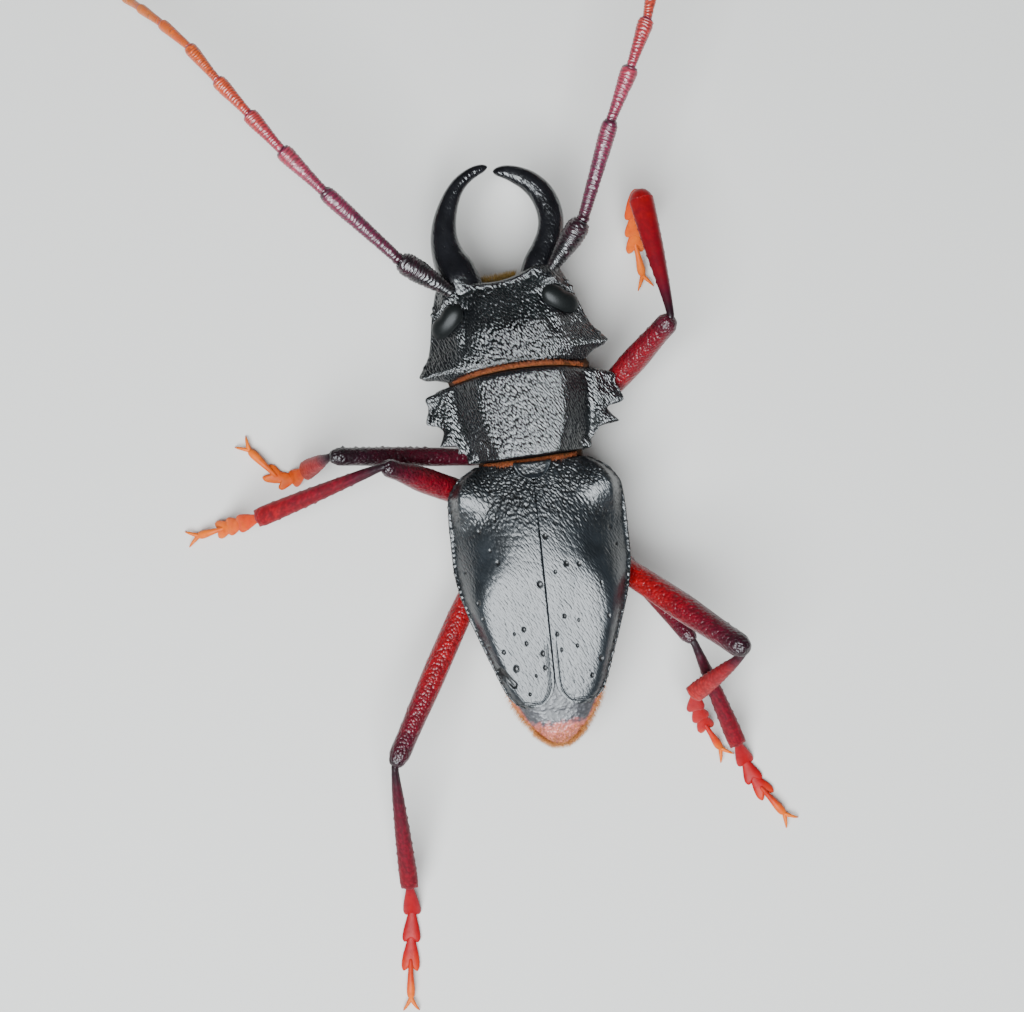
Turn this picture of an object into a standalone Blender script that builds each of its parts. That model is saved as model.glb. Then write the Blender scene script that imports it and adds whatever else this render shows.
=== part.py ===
"""Male Prionacalus longhorn beetle, life size, walking, as a still model.

The body frame has the elytra's axis on Y, the head toward -Y, the insect's left toward +X
and the floor at Z = 0. Sizes are millimetres and become metres when a mesh is made.
An empty carries every piece and moves the model so that its origin is under its middle.
"""
import bpy
import bmesh
from math import cos, exp, pi, radians, sin, sqrt
from mathutils import Matrix, Vector

MM = 0.001
GAP = 0.3                # clear space between neighbouring pieces
# solver of a Boolean step and how near points are merged after it, in the order they are tried
MERGE_TRIES = [("EXACT", 0.01), ("MANIFOLD", 0.01), ("EXACT", 0.004), ("MANIFOLD", 0.004),
               ("EXACT", 0.02), ("MANIFOLD", 0.02), ("EXACT", 0.001), ("MANIFOLD", 0.001)]

# Wing cases: half width along the body, and how high the dome stands over the margin
ELYTRA_BASE = -0.8
ELYTRA_TIP = 26.55
ELYTRA_MARGIN_Z = 10.2
ELYTRA_THICK = 0.9
ELYTRA_WIDTH = [(-0.8, 6.4), (0.4, 8.5), (2.3, 9.8), (5.0, 10.0), (10.7, 10.0), (13.5, 9.5),
                (16.0, 8.8), (18.3, 8.0), (20.5, 7.2), (22.5, 6.3), (24.3, 5.2), (25.6, 4.3),
                (26.55, 3.3)]
ELYTRA_DOME = [(-0.8, 2.5), (2.0, 3.8), (6.0, 4.3), (12.0, 4.3), (18.0, 3.7), (23.0, 2.8),
               (26.55, 1.7)]
SHOULDER = (7.2, 3.4)    # the bump at the front outer corner
SHOULDER_RISE = 0.45
RIM_RISE = 0.25          # the side edge is turned up
SUTURE_END = 24.3        # behind this the inner corners round off
TIP_INNER = 2.2          # inner edge's distance from the axis at the very tip

# Scutellum, a half disc between the wing-case bases
SCUTELLUM_HALF = 1.9
SCUTELLUM_FRONT = -0.9
SCUTELLUM_LENGTH = 1.9

# Body under the wing cases
PTERO_FRONT = -0.9
WAIST = 9.4              # where the hind thorax ends and the abdomen starts
BELLY_Z = 6.0
ABDOMEN_END = 31.1
ABDOMEN_TIP_WIDTH = [(25.0, 5.3), (26.5, 4.7), (28.0, 3.9), (29.3, 2.9), (30.4, 1.8), (31.1, 0.7)]

# Pronotum shield, in its own frame: pivot at its hind edge, turned a little to the left
PRO_PIVOT = (0.05, -1.5)
PRO_YAW = 1.9
PRO_MARGIN_Z = 9.4
PRO_DISC = 2.9           # how far the disc stands over the side plates
PRO_KEEL = 2.7           # how far the breast hangs below them
PRO_WIDTH = [(-8.6, 9.2), (-7.9, 10.5), (-6.4, 10.7), (-5.3, 10.6), (-4.5, 9.7), (-3.9, 9.0),
             (-2.8, 8.7), (-1.3, 7.4), (-0.4, 6.6), (0.1, 6.3)]
# teeth of the shield's side edge: root, tip, radius at the root
PRO_TEETH = [((9.2, -5.9), (11.3, -4.8), 0.85), ((7.9, -3.3), (10.1, -2.4), 0.75),
             ((5.9, -0.7), (6.9, 0.2), 0.45), ((9.7, -7.3), (10.9, -8.2), 0.6)]
PRO_NOTCHES = 3          # small teeth along the front lobe's edge
PRO_FRONT_BEND = -1.15   # the front edge bows forward at the middle
PRO_REAR_BEND = 0.25

# Head, in its own frame: pivot between the hind angles, turned to the left
HEAD_PIVOT = (0.73, -12.25)
HEAD_YAW = 5.6
HEAD_MARGIN_Z = 9.1
HEAD_CROWN = 2.6
HEAD_THROAT = 3.2
# margin's place along the head, the middle's place on the same row, half width
HEAD_ROWS = [(-9.9, -8.95, 6.3), (-9.1, -8.3, 7.0), (-7.3, -6.8, 7.9), (-5.6, -5.3, 8.4),
             (-3.8, -3.7, 8.8), (-1.95, -2.0, 9.5), (-0.05, -0.5, 10.5), (0.45, 0.15, 8.9),
             (1.1, 0.7, 7.3)]
HEAD_HORN = ((8.9, -1.2), (10.9, 0.25), 0.8)   # the sharp hind angle
HEAD_TEETH = 6           # small teeth along each side of the head
EYE_PLACE = (6.35, -5.8, 10.35)
EYE_SIZE = (2.05, 1.15, 1.15)
EYE_TURN = 28.0          # the eye's long axis runs outward and back
EYE_ROLL = 24.0          # and down toward the side

# Mandible centre lines from base to tip, in the head's frame; the right one is opened wider
MANDIBLE_LINE = {
    "left": [(4.45, -10.6, 8.1), (4.6, -11.4, 8.1), (5.05, -12.9, 8.2), (5.2, -15.4, 8.2), (4.15, -18.6, 8.0),
             (2.2, -20.9, 7.8), (0.5, -21.8, 7.7), (-0.85, -21.55, 7.6)],
    "right": [(-4.5, -10.8, 8.1), (-4.65, -11.7, 8.1), (-6.1, -13.4, 8.2), (-7.1, -15.3, 8.2), (-6.6, -18.0, 8.0),
              (-4.9, -20.1, 7.8), (-3.1, -20.95, 7.7), (-1.75, -20.95, 7.6)],
}
MANDIBLE_RADIUS = [(0.0, 2.0), (0.15, 1.85), (0.35, 1.55), (0.6, 1.15), (0.8, 0.75), (0.93, 0.5), (1.0, 0.2)]
MANDIBLE_HEIGHT = 0.85   # height over width

# Feeler joints: radii at base and apex, from the third on
FEELER_BASE_R = [0.62, 0.5, 0.5, 0.5, 0.45, 0.42, 0.4, 0.38, 0.35]
FEELER_APEX_R = [0.98, 1.0, 0.92, 0.85, 0.75, 0.65, 0.58, 0.52, 0.3]
SCAPE_R = [(0.0, 0.62), (0.2, 0.85), (0.6, 1.3), (0.85, 1.32), (1.0, 0.9)]
# route of each feeler: socket, scape end, then through the ends of the joints
FEELER_ROUTE = {
    "left": [(7.75, -21.2, 10.75), (12.3, -24.65, 12.0), (19.6, -32.6, 15.0), (23.6, -37.4, 16.0),
             (26.75, -41.7, 16.0), (29.85, -45.9, 15.0), (32.8, -50.3, 13.2), (35.9, -53.8, 10.8),
             (38.6, -56.6, 7.9), (40.6, -58.6, 5.2), (42.3, -60.2, 2.4)],
    "right": [(-5.15, -22.75, 10.75), (-8.5, -26.85, 12.0), (-12.6, -37.0, 15.0),
              (-15.3, -42.4, 16.0), (-17.6, -47.4, 16.0), (-19.0, -52.2, 15.5),
              (-19.6, -57.2, 14.4), (-19.4, -61.6, 13.0), (-18.6, -65.6, 11.3),
              (-17.2, -69.0, 9.4), (-15.2, -72.4, 7.3)],
}

# Legs: coxa on the breast, trochanter, the place where the thigh clears the body's rim, knee,
# shin's end, then the foot's joints to the claws
LEGS = {
    "fore_left": dict(coxa=(3.9, -3.2, 5.3), hip=(5.3, -1.7, 5.2), rim=(8.6, -2.3, 6.2),
                      knee=(22.0, -3.6, 14.5), ankle=(26.1, -2.6, 3.0),
                      foot=[(27.6, -2.0), (28.9, -1.9), (30.0, -2.6)], claws=(32.5, -5.8), thick=1.3),
    "fore_right": dict(coxa=(-3.7, -3.5, 5.3), hip=(-5.2, -4.6, 5.2), rim=(-10.3, -8.8, 6.8),
                       knee=(-17.0, -14.8, 14.2), ankle=(-15.2, -29.9, 9.6), start=(-15.1, -30.1, 8.1),
                       foot=[(-14.6, -27.6, 5.9), (-14.6, -26.0, 3.7), (-14.7, -24.6, 1.8)],
                       claws=(-15.3, -21.2), thick=1.45),
    "mid_left": dict(coxa=(3.9, 3.4, 5.2), hip=(5.6, 3.0, 5.2), rim=(9.0, 1.5, 7.2),
                     knee=(16.2, -1.9, 15.5), ankle=(31.8, 2.3, 6.6),
                     foot=[(33.7, 2.6, 4.4), (35.2, 2.8, 2.6), (36.5, 3.0, 1.2)],
                     claws=(39.4, 3.5), thick=1.2),
    "mid_right": dict(coxa=(-3.9, 4.2, 5.0), hip=(-5.6, 5.2, 4.6), rim=(-9.9, 12.2, 4.4),
                      knee=(-16.0, 21.2, 9.6), ankle=(-20.4, 34.2, 2.9),
                      foot=[(-21.2, 36.3), (-21.9, 38.3), (-22.9, 39.9)],
                      claws=(-25.1, 43.0), thick=1.2),
    "hind_left": dict(coxa=(3.9, 8.0, 5.2), hip=(5.6, 9.4, 5.2), rim=(9.1, 14.3, 6.7),
                      knee=(18.8, 31.4, 11.5), ankle=(19.1, 46.6, 3.0),
                      foot=[(19.3, 49.6), (19.7, 52.6), (20.1, 55.6)], claws=(20.5, 59.8), thick=1.35),
    "hind_right": dict(coxa=(-3.8, 8.6, 5.3), hip=(-5.5, 9.9, 5.2), rim=(-9.9, 12.9, 7.5),
                       knee=(-21.0, 22.2, 18.0), ankle=(-15.3, 27.3, 8.2),
                       foot=[(-15.7, 28.9, 5.9), (-16.3, 30.3, 3.7), (-16.9, 31.6, 1.7)],
                       claws=(-18.5, 34.6), thick=1.35),
}
COXA_SIZE = (1.7, 1.5, 1.35)
TIBIA_START_R = 0.7
TIBIA_END_R = {"fore": 1.25, "mid": 0.95, "hind": 1.2}
SPUR_LENGTH = 1.1
SOLE_Z = 0.35            # height of the foot joints' middle over the floor
PAD_R = [(0.0, 0.42), (0.5, 0.75), (0.82, 1.05), (1.0, 0.85)]
PAD_FLAT = 0.45
LOBE_R = [(0.0, 0.5), (0.6, 0.6), (1.0, 0.35)]
LOBE_SPREAD = [(25.0, 0.0), (-23.0, 0.07)]     # degrees from the foot's line, and how much lower
CLAW_JOINT_Z = 0.6
CLAW_JOINT_R = [(0.0, 0.25), (0.3, 0.3), (0.85, 0.52), (1.0, 0.4)]
CLAW_LENGTH = 1.9
CLAW_OPEN = [(33.0, 0.0), (-31.0, 0.04)]       # degrees from the claw joint, and how much lower
CLAW_R = [(0.0, 0.28), (0.5, 0.25), (0.8, 0.18), (1.0, 0.1)]
THIGH_TEETH = 6          # small teeth along the front edge of the thigh
TIBIA_FLAT = 0.6         # thickness over width at the end of the tibia

BLACK = (0.012, 0.013, 0.014)
PURPLE = (0.05, 0.008, 0.014)
RED = (0.22, 0.01, 0.012)
ORANGE = (0.55, 0.12, 0.03)
EYE_GREY = (0.02, 0.022, 0.024)


def material(name, colour, roughness):
    """A plain finish for one kind of surface."""
    finish = bpy.data.materials.new(name)
    finish.use_nodes = True
    shader = finish.node_tree.nodes["Principled BSDF"]
    shader.inputs["Base Color"].default_value = (*colour, 1.0)
    shader.inputs["Roughness"].default_value = roughness
    return finish


def at(table, place):
    """Value of a (place, value) table at a place, straight between its entries."""
    if place <= table[0][0]:
        return table[0][1]
    for (a, low), (b, high) in zip(table, table[1:]):
        if place <= b:
            return low + (high - low) * (place - a) / (b - a)
    return table[-1][1]


def ease(t):
    """Smooth step from 0 to 1."""
    t = min(max(t, 0.0), 1.0)
    return t * t * (3.0 - 2.0 * t)


def turned(point, pivot, yaw):
    """A point of a turned frame in the body frame."""
    x, y = point[0], point[1]
    c, s = cos(radians(yaw)), sin(radians(yaw))
    return Vector((pivot[0] + c * x - s * y, pivot[1] + s * x + c * y, point[2]))


def head_point(x, y, z):
    return turned((x, y, z), HEAD_PIVOT, HEAD_YAW)


def pro_point(x, y, z):
    return turned((x, y, z), PRO_PIVOT, PRO_YAW)


def new_object(name, points, faces):
    """An object from points in millimetres; its faces are turned outward."""
    mesh = bpy.data.meshes.new(name)
    mesh.from_pydata([Vector(p) * MM for p in points], [], faces)
    shape = bmesh.new()
    shape.from_mesh(mesh)
    bmesh.ops.triangulate(shape, faces=[f for f in shape.faces if len(f.verts) > 4])
    bmesh.ops.recalc_face_normals(shape, faces=shape.faces)
    shape.to_mesh(mesh)
    shape.free()
    thing = bpy.data.objects.new(name, mesh)
    bpy.context.scene.collection.objects.link(thing)
    return thing


def slab(name, rows):
    """A closed plate from rows of (x, y, top z, bottom z): two skins and a rim."""
    n, m = len(rows), len(rows[0])
    top = [(x, y, z) for row in rows for x, y, z, _ in row]
    bottom = [(x, y, z) for row in rows for x, y, _, z in row]
    under = n * m
    faces = []
    for i in range(n - 1):
        for j in range(m - 1):
            a, b, c, d = i * m + j, i * m + j + 1, (i + 1) * m + j + 1, (i + 1) * m + j
            faces += [(a, b, c), (a, c, d)]
            faces += [(under + c, under + b, under + a), (under + d, under + c, under + a)]
    ring = ([j for j in range(m)] + [i * m + m - 1 for i in range(1, n)]
            + [(n - 1) * m + j for j in range(m - 2, -1, -1)] + [i * m for i in range(n - 2, 0, -1)])
    for a, b in zip(ring, ring[1:] + ring[:1]):
        faces += [(b, a, under + a), (b, under + a, under + b)]
    return new_object(name, top + bottom, faces)


def smooth_line(points, samples):
    """Points spaced evenly along a smooth curve through the given points."""
    line = [Vector(p) for p in points]
    line = [line[0] * 2 - line[1]] + line + [line[-1] * 2 - line[-2]]
    fine = []
    steps = 16
    for a, b, c, d in zip(line, line[1:], line[2:], line[3:]):
        for k in range(steps):
            t = k / steps
            fine.append(0.5 * (2 * b + (c - a) * t + (2 * a - 5 * b + 4 * c - d) * t * t
                               + (3 * b - a - 3 * c + d) * t ** 3))
    fine.append(line[-2])
    lengths = [0.0]
    for a, b in zip(fine, fine[1:]):
        lengths.append(lengths[-1] + (b - a).length)
    places = []
    for t in samples:
        want = t * lengths[-1]
        k = max(i for i in range(len(lengths)) if lengths[i] <= want + 1e-9)
        k = min(k, len(fine) - 2)
        share = (want - lengths[k]) / (lengths[k + 1] - lengths[k])
        places.append(fine[k].lerp(fine[k + 1], share))
    return places


def tube(name, points, radii, sides=8, flat=1.0, wide=(0.0, 0.0, 1.0), flats=None, phase=0.0):
    """A closed tapering tube along a smooth line; radii is a (share of length, radius) table.

    The section is an ellipse: its long axis lies along the direction wide x line, and its
    short axis is flat times as long, or as the flats table says.
    """
    samples = [share for share, _ in radii]
    centres = smooth_line(points, samples)
    rings = []
    for k, centre in enumerate(centres):
        before = centres[max(k - 1, 0)]
        after = centres[min(k + 1, len(centres) - 1)]
        along = (after - before).normalized()
        across = along.cross(Vector(wide))
        if across.length < 1e-4:
            across = along.cross(Vector((1.0, 0.0, 0.0)))
        across.normalize()
        upward = across.cross(along).normalized()
        radius = radii[k][1]
        squeeze = at(flats, radii[k][0]) if flats else flat
        ring = []
        for j in range(sides):
            angle = 2 * pi * j / sides + phase
            ring.append(centre + across * radius * cos(angle) + upward * radius * squeeze * sin(angle))
        rings.append(ring)
    points_out = [p for ring in rings for p in ring]
    faces = []
    for k in range(len(rings) - 1):
        for j in range(sides):
            a, b = k * sides + j, k * sides + (j + 1) % sides
            faces.append((a, b, b + sides, a + sides))
    faces.append(tuple(reversed(range(sides))))
    last = (len(rings) - 1) * sides
    faces.append(tuple(range(last, last + sides)))
    return new_object(name, points_out, faces)


def ball(name, centre, size, turn=None, rings=8, segments=14):
    """An ellipsoid with the given half sizes, turned by a 3x3 matrix."""
    shape = bmesh.new()
    bmesh.ops.create_uvsphere(shape, u_segments=segments, v_segments=rings, radius=1.0)
    scale = Matrix.Diagonal(Vector(size) * MM).to_4x4()
    turn = turn.to_4x4() if turn else Matrix.Identity(4)
    bmesh.ops.transform(shape, verts=shape.verts,
                        matrix=Matrix.Translation(Vector(centre) * MM) @ turn @ scale)
    mesh = bpy.data.meshes.new(name)
    shape.to_mesh(mesh)
    shape.free()
    thing = bpy.data.objects.new(name, mesh)
    bpy.context.scene.collection.objects.link(thing)
    return thing


def tooth(root, tip, radius, sides=5):
    """A pointed cone whose base lies inside the body that it is joined to."""
    root, tip = Vector(root), Vector(tip)
    along = (tip - root).normalized()
    across = along.cross(Vector((0.0, 0.0, 1.0)))
    if across.length < 0.1:
        across = Vector((1.0, 0.0, 0.0))
    across.normalize()
    upward = across.cross(along)
    points = [root + radius * (across * cos(2 * pi * j / sides) + upward * sin(2 * pi * j / sides))
              for j in range(sides)]
    faces = [(j, (j + 1) % sides, sides) for j in range(sides)] + [tuple(reversed(range(sides)))]
    return new_object("tooth", points + [tip], faces)


def remove(things):
    for thing in things:
        bpy.data.objects.remove(thing, do_unlink=True)


def is_closed(mesh):
    """Whether every edge of a mesh has two faces and no point joins two surfaces."""
    shape = bmesh.new()
    shape.from_mesh(mesh)
    closed = all(len(edge.link_faces) == 2 for edge in shape.edges)
    closed = closed and all(vert.is_manifold for vert in shape.verts)
    shape.free()
    return closed


def merge_slivers(mesh, nearness):
    """Merge points that a Boolean step left close together."""
    shape = bmesh.new()
    shape.from_mesh(mesh)
    bmesh.ops.remove_doubles(shape, verts=shape.verts, dist=nearness * MM)
    bmesh.ops.dissolve_degenerate(shape, edges=shape.edges, dist=nearness * MM * 0.5)
    bmesh.ops.triangulate(shape, faces=shape.faces)
    shape.to_mesh(mesh)
    shape.free()


def combine(thing, step):
    """Apply a Boolean step: the solver and merging distance that leave a closed surface."""
    before = thing.data
    for solver, nearness in MERGE_TRIES:
        step.solver = solver
        graph = bpy.context.evaluated_depsgraph_get()
        mesh = bpy.data.meshes.new_from_object(thing.evaluated_get(graph))
        merge_slivers(mesh, nearness)
        if is_closed(mesh):
            break
    thing.modifiers.clear()
    thing.data = mesh
    bpy.data.meshes.remove(before)
    keep_largest(thing)


def keep_largest(thing):
    """Drop everything but the largest closed surface."""
    shape = bmesh.new()
    shape.from_mesh(thing.data)
    left = set(shape.verts)
    islands = []
    while left:
        island = set()
        queue = [left.pop()]
        while queue:
            vert = queue.pop()
            island.add(vert)
            for edge in vert.link_edges:
                other = edge.other_vert(vert)
                if other in left:
                    left.discard(other)
                    queue.append(other)
        islands.append(island)
    islands.sort(key=len)
    for island in islands[:-1]:
        bmesh.ops.delete(shape, geom=list(island), context="VERTS")
    shape.to_mesh(thing.data)
    shape.free()


def fuse(thing, pieces):
    """Join closed pieces to a body by one union, and drop the pieces."""
    group = bpy.data.collections.new(thing.name + "_pieces")
    for piece in pieces:
        group.objects.link(piece)
    step = thing.modifiers.new("union", "BOOLEAN")
    step.operation = "UNION"
    step.operand_type = "COLLECTION"
    step.collection = group
    combine(thing, step)
    remove(pieces)
    bpy.data.collections.remove(group)


def cut(thing, cutter):
    """Take a cutter's shape out of a body."""
    step = thing.modifiers.new("cut", "BOOLEAN")
    step.operation = "DIFFERENCE"
    step.object = cutter
    combine(thing, step)
    remove([cutter])


def block(name, low, high):
    """A box between two corners."""
    corners = [(x, y, z) for x in (low[0], high[0]) for y in (low[1], high[1]) for z in (low[2], high[2])]
    faces = [(0, 1, 3, 2), (4, 6, 7, 5), (0, 4, 5, 1), (2, 3, 7, 6), (0, 2, 6, 4), (1, 5, 7, 3)]
    return new_object(name, corners, faces)


def stand_flat(thing):
    """Cut off whatever is below the floor, which leaves small flats to stand on."""
    box = [Vector(corner) / MM for corner in thing.bound_box]
    low = [min(c[k] for c in box) - 1.0 for k in range(3)]
    high = [max(c[k] for c in box) + 1.0 for k in range(3)]
    if low[2] + 1.0 < 0.0:
        cut(thing, block("floor_cut", low, (high[0], high[1], 0.0)))


def finish(thing, surface, crease=35.0):
    """Give a piece its material and smooth shading."""
    thing.data.materials.clear()
    thing.data.materials.append(surface)
    thing.data.shade_smooth()
    thing.data.set_sharp_from_angle(angle=radians(crease))
    return thing


# Wing cases and the body under them

def elytra_top(x, y):
    """Height of the wing cases' outer face."""
    across = min(abs(x) / at(ELYTRA_WIDTH, y), 1.0)
    dome = ELYTRA_MARGIN_Z + at(ELYTRA_DOME, y) * (1.0 - across ** 2.6) ** 0.9
    away = (abs(x) - SHOULDER[0]) ** 2 + (y - SHOULDER[1]) ** 2
    return dome + SHOULDER_RISE * exp(-away / 2.5) + RIM_RISE * ease((across - 0.93) / 0.07)


def scutellum_half(y):
    """Half width of the scutellum at a place along the body."""
    along = (y - SCUTELLUM_FRONT) / SCUTELLUM_LENGTH
    return SCUTELLUM_HALF * sqrt(max(1.0 - along * along, 0.0))


def elytron(side, surface):
    sign = 1 if side == "left" else -1
    places = [ELYTRA_BASE, -0.3, 0.3, 0.8, 1.3, 2.3, 4.5, 7.5, 10.7, 13.5, 16.0, 18.3, 20.5, 22.5,
              SUTURE_END, 25.3, 26.1, ELYTRA_TIP]
    shares = [0.0, 0.25, 0.5, 0.72, 0.85, 0.94, 1.0]
    rows = []
    for y in places:
        inner = max(GAP / 2, scutellum_half(y) + GAP if y < 1.3 else 0.0)
        if y > SUTURE_END:
            round_off = (y - SUTURE_END) / (ELYTRA_TIP - SUTURE_END)
            inner += (TIP_INNER - inner) * (1.0 - sqrt(1.0 - round_off ** 2))
        outer = at(ELYTRA_WIDTH, y)
        row = []
        for share in shares:
            x = inner + (outer - inner) * share
            z = elytra_top(x, y)
            row.append((sign * x, y, z, z - ELYTRA_THICK))
        rows.append(row)
    return finish(slab("elytron_" + side, rows), surface)


def body_rows(places, width_at, shares, bottom_at):
    """Rows of the body under the wing cases, clear of their inner face."""
    rows = []
    for y in places:
        half = width_at(y)
        row = []
        for share in shares:
            x = half * share
            top = elytra_top(x, min(y, ELYTRA_TIP)) - ELYTRA_THICK - GAP - 0.1
            low, mid = bottom_at(y), ELYTRA_MARGIN_Z - ELYTRA_THICK - GAP - 0.9
            row.append((x, y, top, low + (mid - low) * abs(share) ** 2.4))
        rows.append(row)
    return rows


def pterothorax(surface):
    shares = [-1.0, -0.85, -0.6, -0.3, 0.0, 0.3, 0.6, 0.85, 1.0]
    places = [PTERO_FRONT + GAP, 0.6, 2.5, 5.0, 7.2, WAIST]
    width = [(PTERO_FRONT, 5.4), (0.6, 6.8), (2.5, 7.6), (WAIST, 7.9)]
    rows = body_rows(places, lambda y: at(width, y), shares, lambda y: BELLY_Z)
    for row in rows[:2]:
        for j, (x, y, top, low) in enumerate(row):
            row[j] = (x, y, min(top, 11.0 if y < 0 else 11.6), low)
    return finish(slab("pterothorax", rows), surface)


def abdomen(surface):
    shares = [-1.0, -0.85, -0.6, -0.3, 0.0, 0.3, 0.6, 0.85, 1.0]
    places = [WAIST + GAP, 13.0, 17.0, 21.0, 24.0, 26.0, 27.6, 29.0, 30.2, ABDOMEN_END]
    bottom = [(WAIST, BELLY_Z), (20.0, 6.3), (26.0, 6.9), (31.1, 7.6)]

    def width_at(y):
        if y > 25.0:
            return at(ABDOMEN_TIP_WIDTH, y)
        return at(ELYTRA_WIDTH, y) - 2.0 + 2.1 * ease((y - 15.0) / 10.0)

    rows = body_rows(places, width_at, shares, lambda y: at(bottom, y))
    droop = [(20.0, 0.0), (24.0, 0.4), (27.6, 0.6), (29.0, 0.9), (31.1, 1.9)]
    for row in rows:
        for j, (x, y, top, low) in enumerate(row):
            low = min(low, 8.1)
            row[j] = (x, y, max(top - at(droop, y), low + 0.6), low)
    return finish(slab("abdomen", rows), surface)


def scutellum(surface):
    rows = []
    depth = 0.9
    for k in range(6):
        y = SCUTELLUM_FRONT + GAP + (SCUTELLUM_LENGTH - GAP) * sin(0.5 * pi * k / 5)
        half = max(scutellum_half(y), 0.25)
        row = []
        for share in (-1.0, -0.5, 0.0, 0.5, 1.0):
            z = elytra_top(half * share, y) + 0.15 * (1 - share * share)
            row.append((half * share, y, z, z - depth))
        rows.append(row)
    return finish(slab("scutellum", rows), surface)


# Pronotum shield

def side_tooth(place, sign, root, tip, radius, z):
    """A tooth on a side edge, in the frame that place turns into the body's."""
    return tooth(place(sign * root[0], root[1], z), place(sign * tip[0], tip[1], z + 0.1), radius)


def pro_top(x):
    """The shield's upper face: a raised disc between sloping side plates."""
    x = abs(x)
    return PRO_MARGIN_Z + 0.4 + PRO_DISC * ease((8.0 - x) / 4.2) + 0.3 * ease((x - 7.5) / 2.0)


def pro_bottom(x):
    return PRO_MARGIN_Z - 0.3 - PRO_KEEL * ease((7.4 - abs(x)) / 3.2)


def prothorax(surface):
    shares = [-1.0, -0.88, -0.74, -0.6, -0.45, -0.22, 0.0, 0.22, 0.45, 0.6, 0.74, 0.88, 1.0]
    rows = []
    front, rear = PRO_WIDTH[0][0], PRO_WIDTH[-1][0]
    for y, half in PRO_WIDTH:
        bend = PRO_FRONT_BEND + (PRO_REAR_BEND - PRO_FRONT_BEND) * (y - front) / (rear - front)
        row = []
        end_drop = 0.5 * max(0.0, 1.0 - (y - front) / 1.0) + 0.4 * max(0.0, 1.0 - (rear - y) / 0.8)
        for share in shares:
            x = half * share
            place = pro_point(x, y + bend * (1.0 - share ** 2), 0.0)
            row.append((place.x, place.y, pro_top(x) - end_drop, pro_bottom(x)))
        rows.append(row)
    shield = slab("prothorax", rows)
    teeth = []
    for sign in (1, -1):
        for root, tip, radius in PRO_TEETH:
            teeth.append(side_tooth(pro_point, sign, root, tip, radius, PRO_MARGIN_Z + 0.1))
        for k in range(PRO_NOTCHES):
            y = -7.2 + 0.75 * k
            teeth.append(side_tooth(pro_point, sign, (10.2, y - 0.1), (11.15, y), 0.3, PRO_MARGIN_Z + 0.1))
    fuse(shield, teeth)
    return finish(shield, surface)


# Head, jaws, eyes, mouth

def head_top(share, y):
    crown = HEAD_CROWN * (1.0 - 0.35 * ease((-y - 6.0) / 4.0))
    return HEAD_MARGIN_Z + 0.35 + crown * (1.0 - abs(share) ** 2.6)


def head(surface):
    shares = [-1.0, -0.9, -0.78, -0.62, -0.45, -0.22, 0.0, 0.22, 0.45, 0.62, 0.78, 0.9, 1.0]
    rows = []
    for side_y, middle_y, half in HEAD_ROWS:
        row = []
        for share in shares:
            y = side_y + (middle_y - side_y) * (1.0 - share ** 2)
            place = head_point(half * share, y, 0.0)
            low = HEAD_MARGIN_Z - 0.3 - HEAD_THROAT * (1.0 - abs(share) ** 3)
            row.append((place.x, place.y, head_top(share, side_y), low))
        rows.append(row)
    skull = slab("head", rows)
    teeth = []
    width = [(side_y, half) for side_y, _, half in HEAD_ROWS]
    z = HEAD_MARGIN_Z + 0.05
    for sign in (1, -1):
        root, tip, radius = HEAD_HORN
        teeth.append(side_tooth(head_point, sign, root, tip, radius, z))
        for k in range(HEAD_TEETH):
            y = -8.6 + 6.8 * k / (HEAD_TEETH - 1)
            half = at(width, y)
            teeth.append(side_tooth(head_point, sign, (half - 0.55, y - 0.15), (half + 0.35, y + 0.2), 0.35, z))
    fuse(skull, teeth)
    for side in ("left", "right"):
        cut(skull, eye_ball("socket_" + side, side, GAP))
    return finish(skull, surface)


def eye_ball(name, side, grow):
    sign = 1 if side == "left" else -1
    x, y, z = EYE_PLACE
    turn = (Matrix.Rotation(radians(HEAD_YAW + sign * EYE_TURN), 3, "Z")
            @ Matrix.Rotation(radians(sign * EYE_ROLL), 3, "Y"))
    return ball(name, head_point(sign * x, y, z), [s + grow for s in EYE_SIZE], turn)


def mandible(side, surface):
    line = [head_point(*p) for p in MANDIBLE_LINE[side]]
    jaw = tube("mandible_" + side, line, MANDIBLE_RADIUS, sides=10, flat=MANDIBLE_HEIGHT)
    return finish(jaw, surface)


def labrum(surface):
    rows = []
    for y, half, low, high in ((-9.3, 1.9, 6.6, 7.9), (-9.8, 1.8, 6.6, 7.7), (-10.3, 1.3, 6.8, 7.4)):
        row = []
        for share in (-1.0, -0.5, 0.0, 0.5, 1.0):
            place = head_point(half * share, y + 0.25 * share * share, 0.0)
            row.append((place.x, place.y, high, low))
        rows.append(row)
    return finish(slab("labrum", rows), surface)


def palp(kind, side, surface):
    sign = 1 if side == "left" else -1
    if kind == "maxillary":
        line = [(3.6, -8.4, 5.2), (4.3, -10.0, 4.9), (4.9, -11.8, 4.7), (5.0, -13.2, 4.4)]
    else:
        line = [(1.3, -8.0, 5.1), (1.5, -8.9, 4.8), (1.8, -9.9, 4.5)]
    joints = 3
    radii = []
    for k in range(joints):
        radii += [((k + 0.03) / joints, 0.36), ((k + 0.9) / joints, 0.55)]
    radii += [(1.0, 0.42)]
    radii[0] = (0.0, 0.36)
    line = [head_point(sign * x, y, z) for x, y, z in line]
    return finish(tube("palp_" + kind + "_" + side, line, radii, sides=6), surface)


# Feelers

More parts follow.
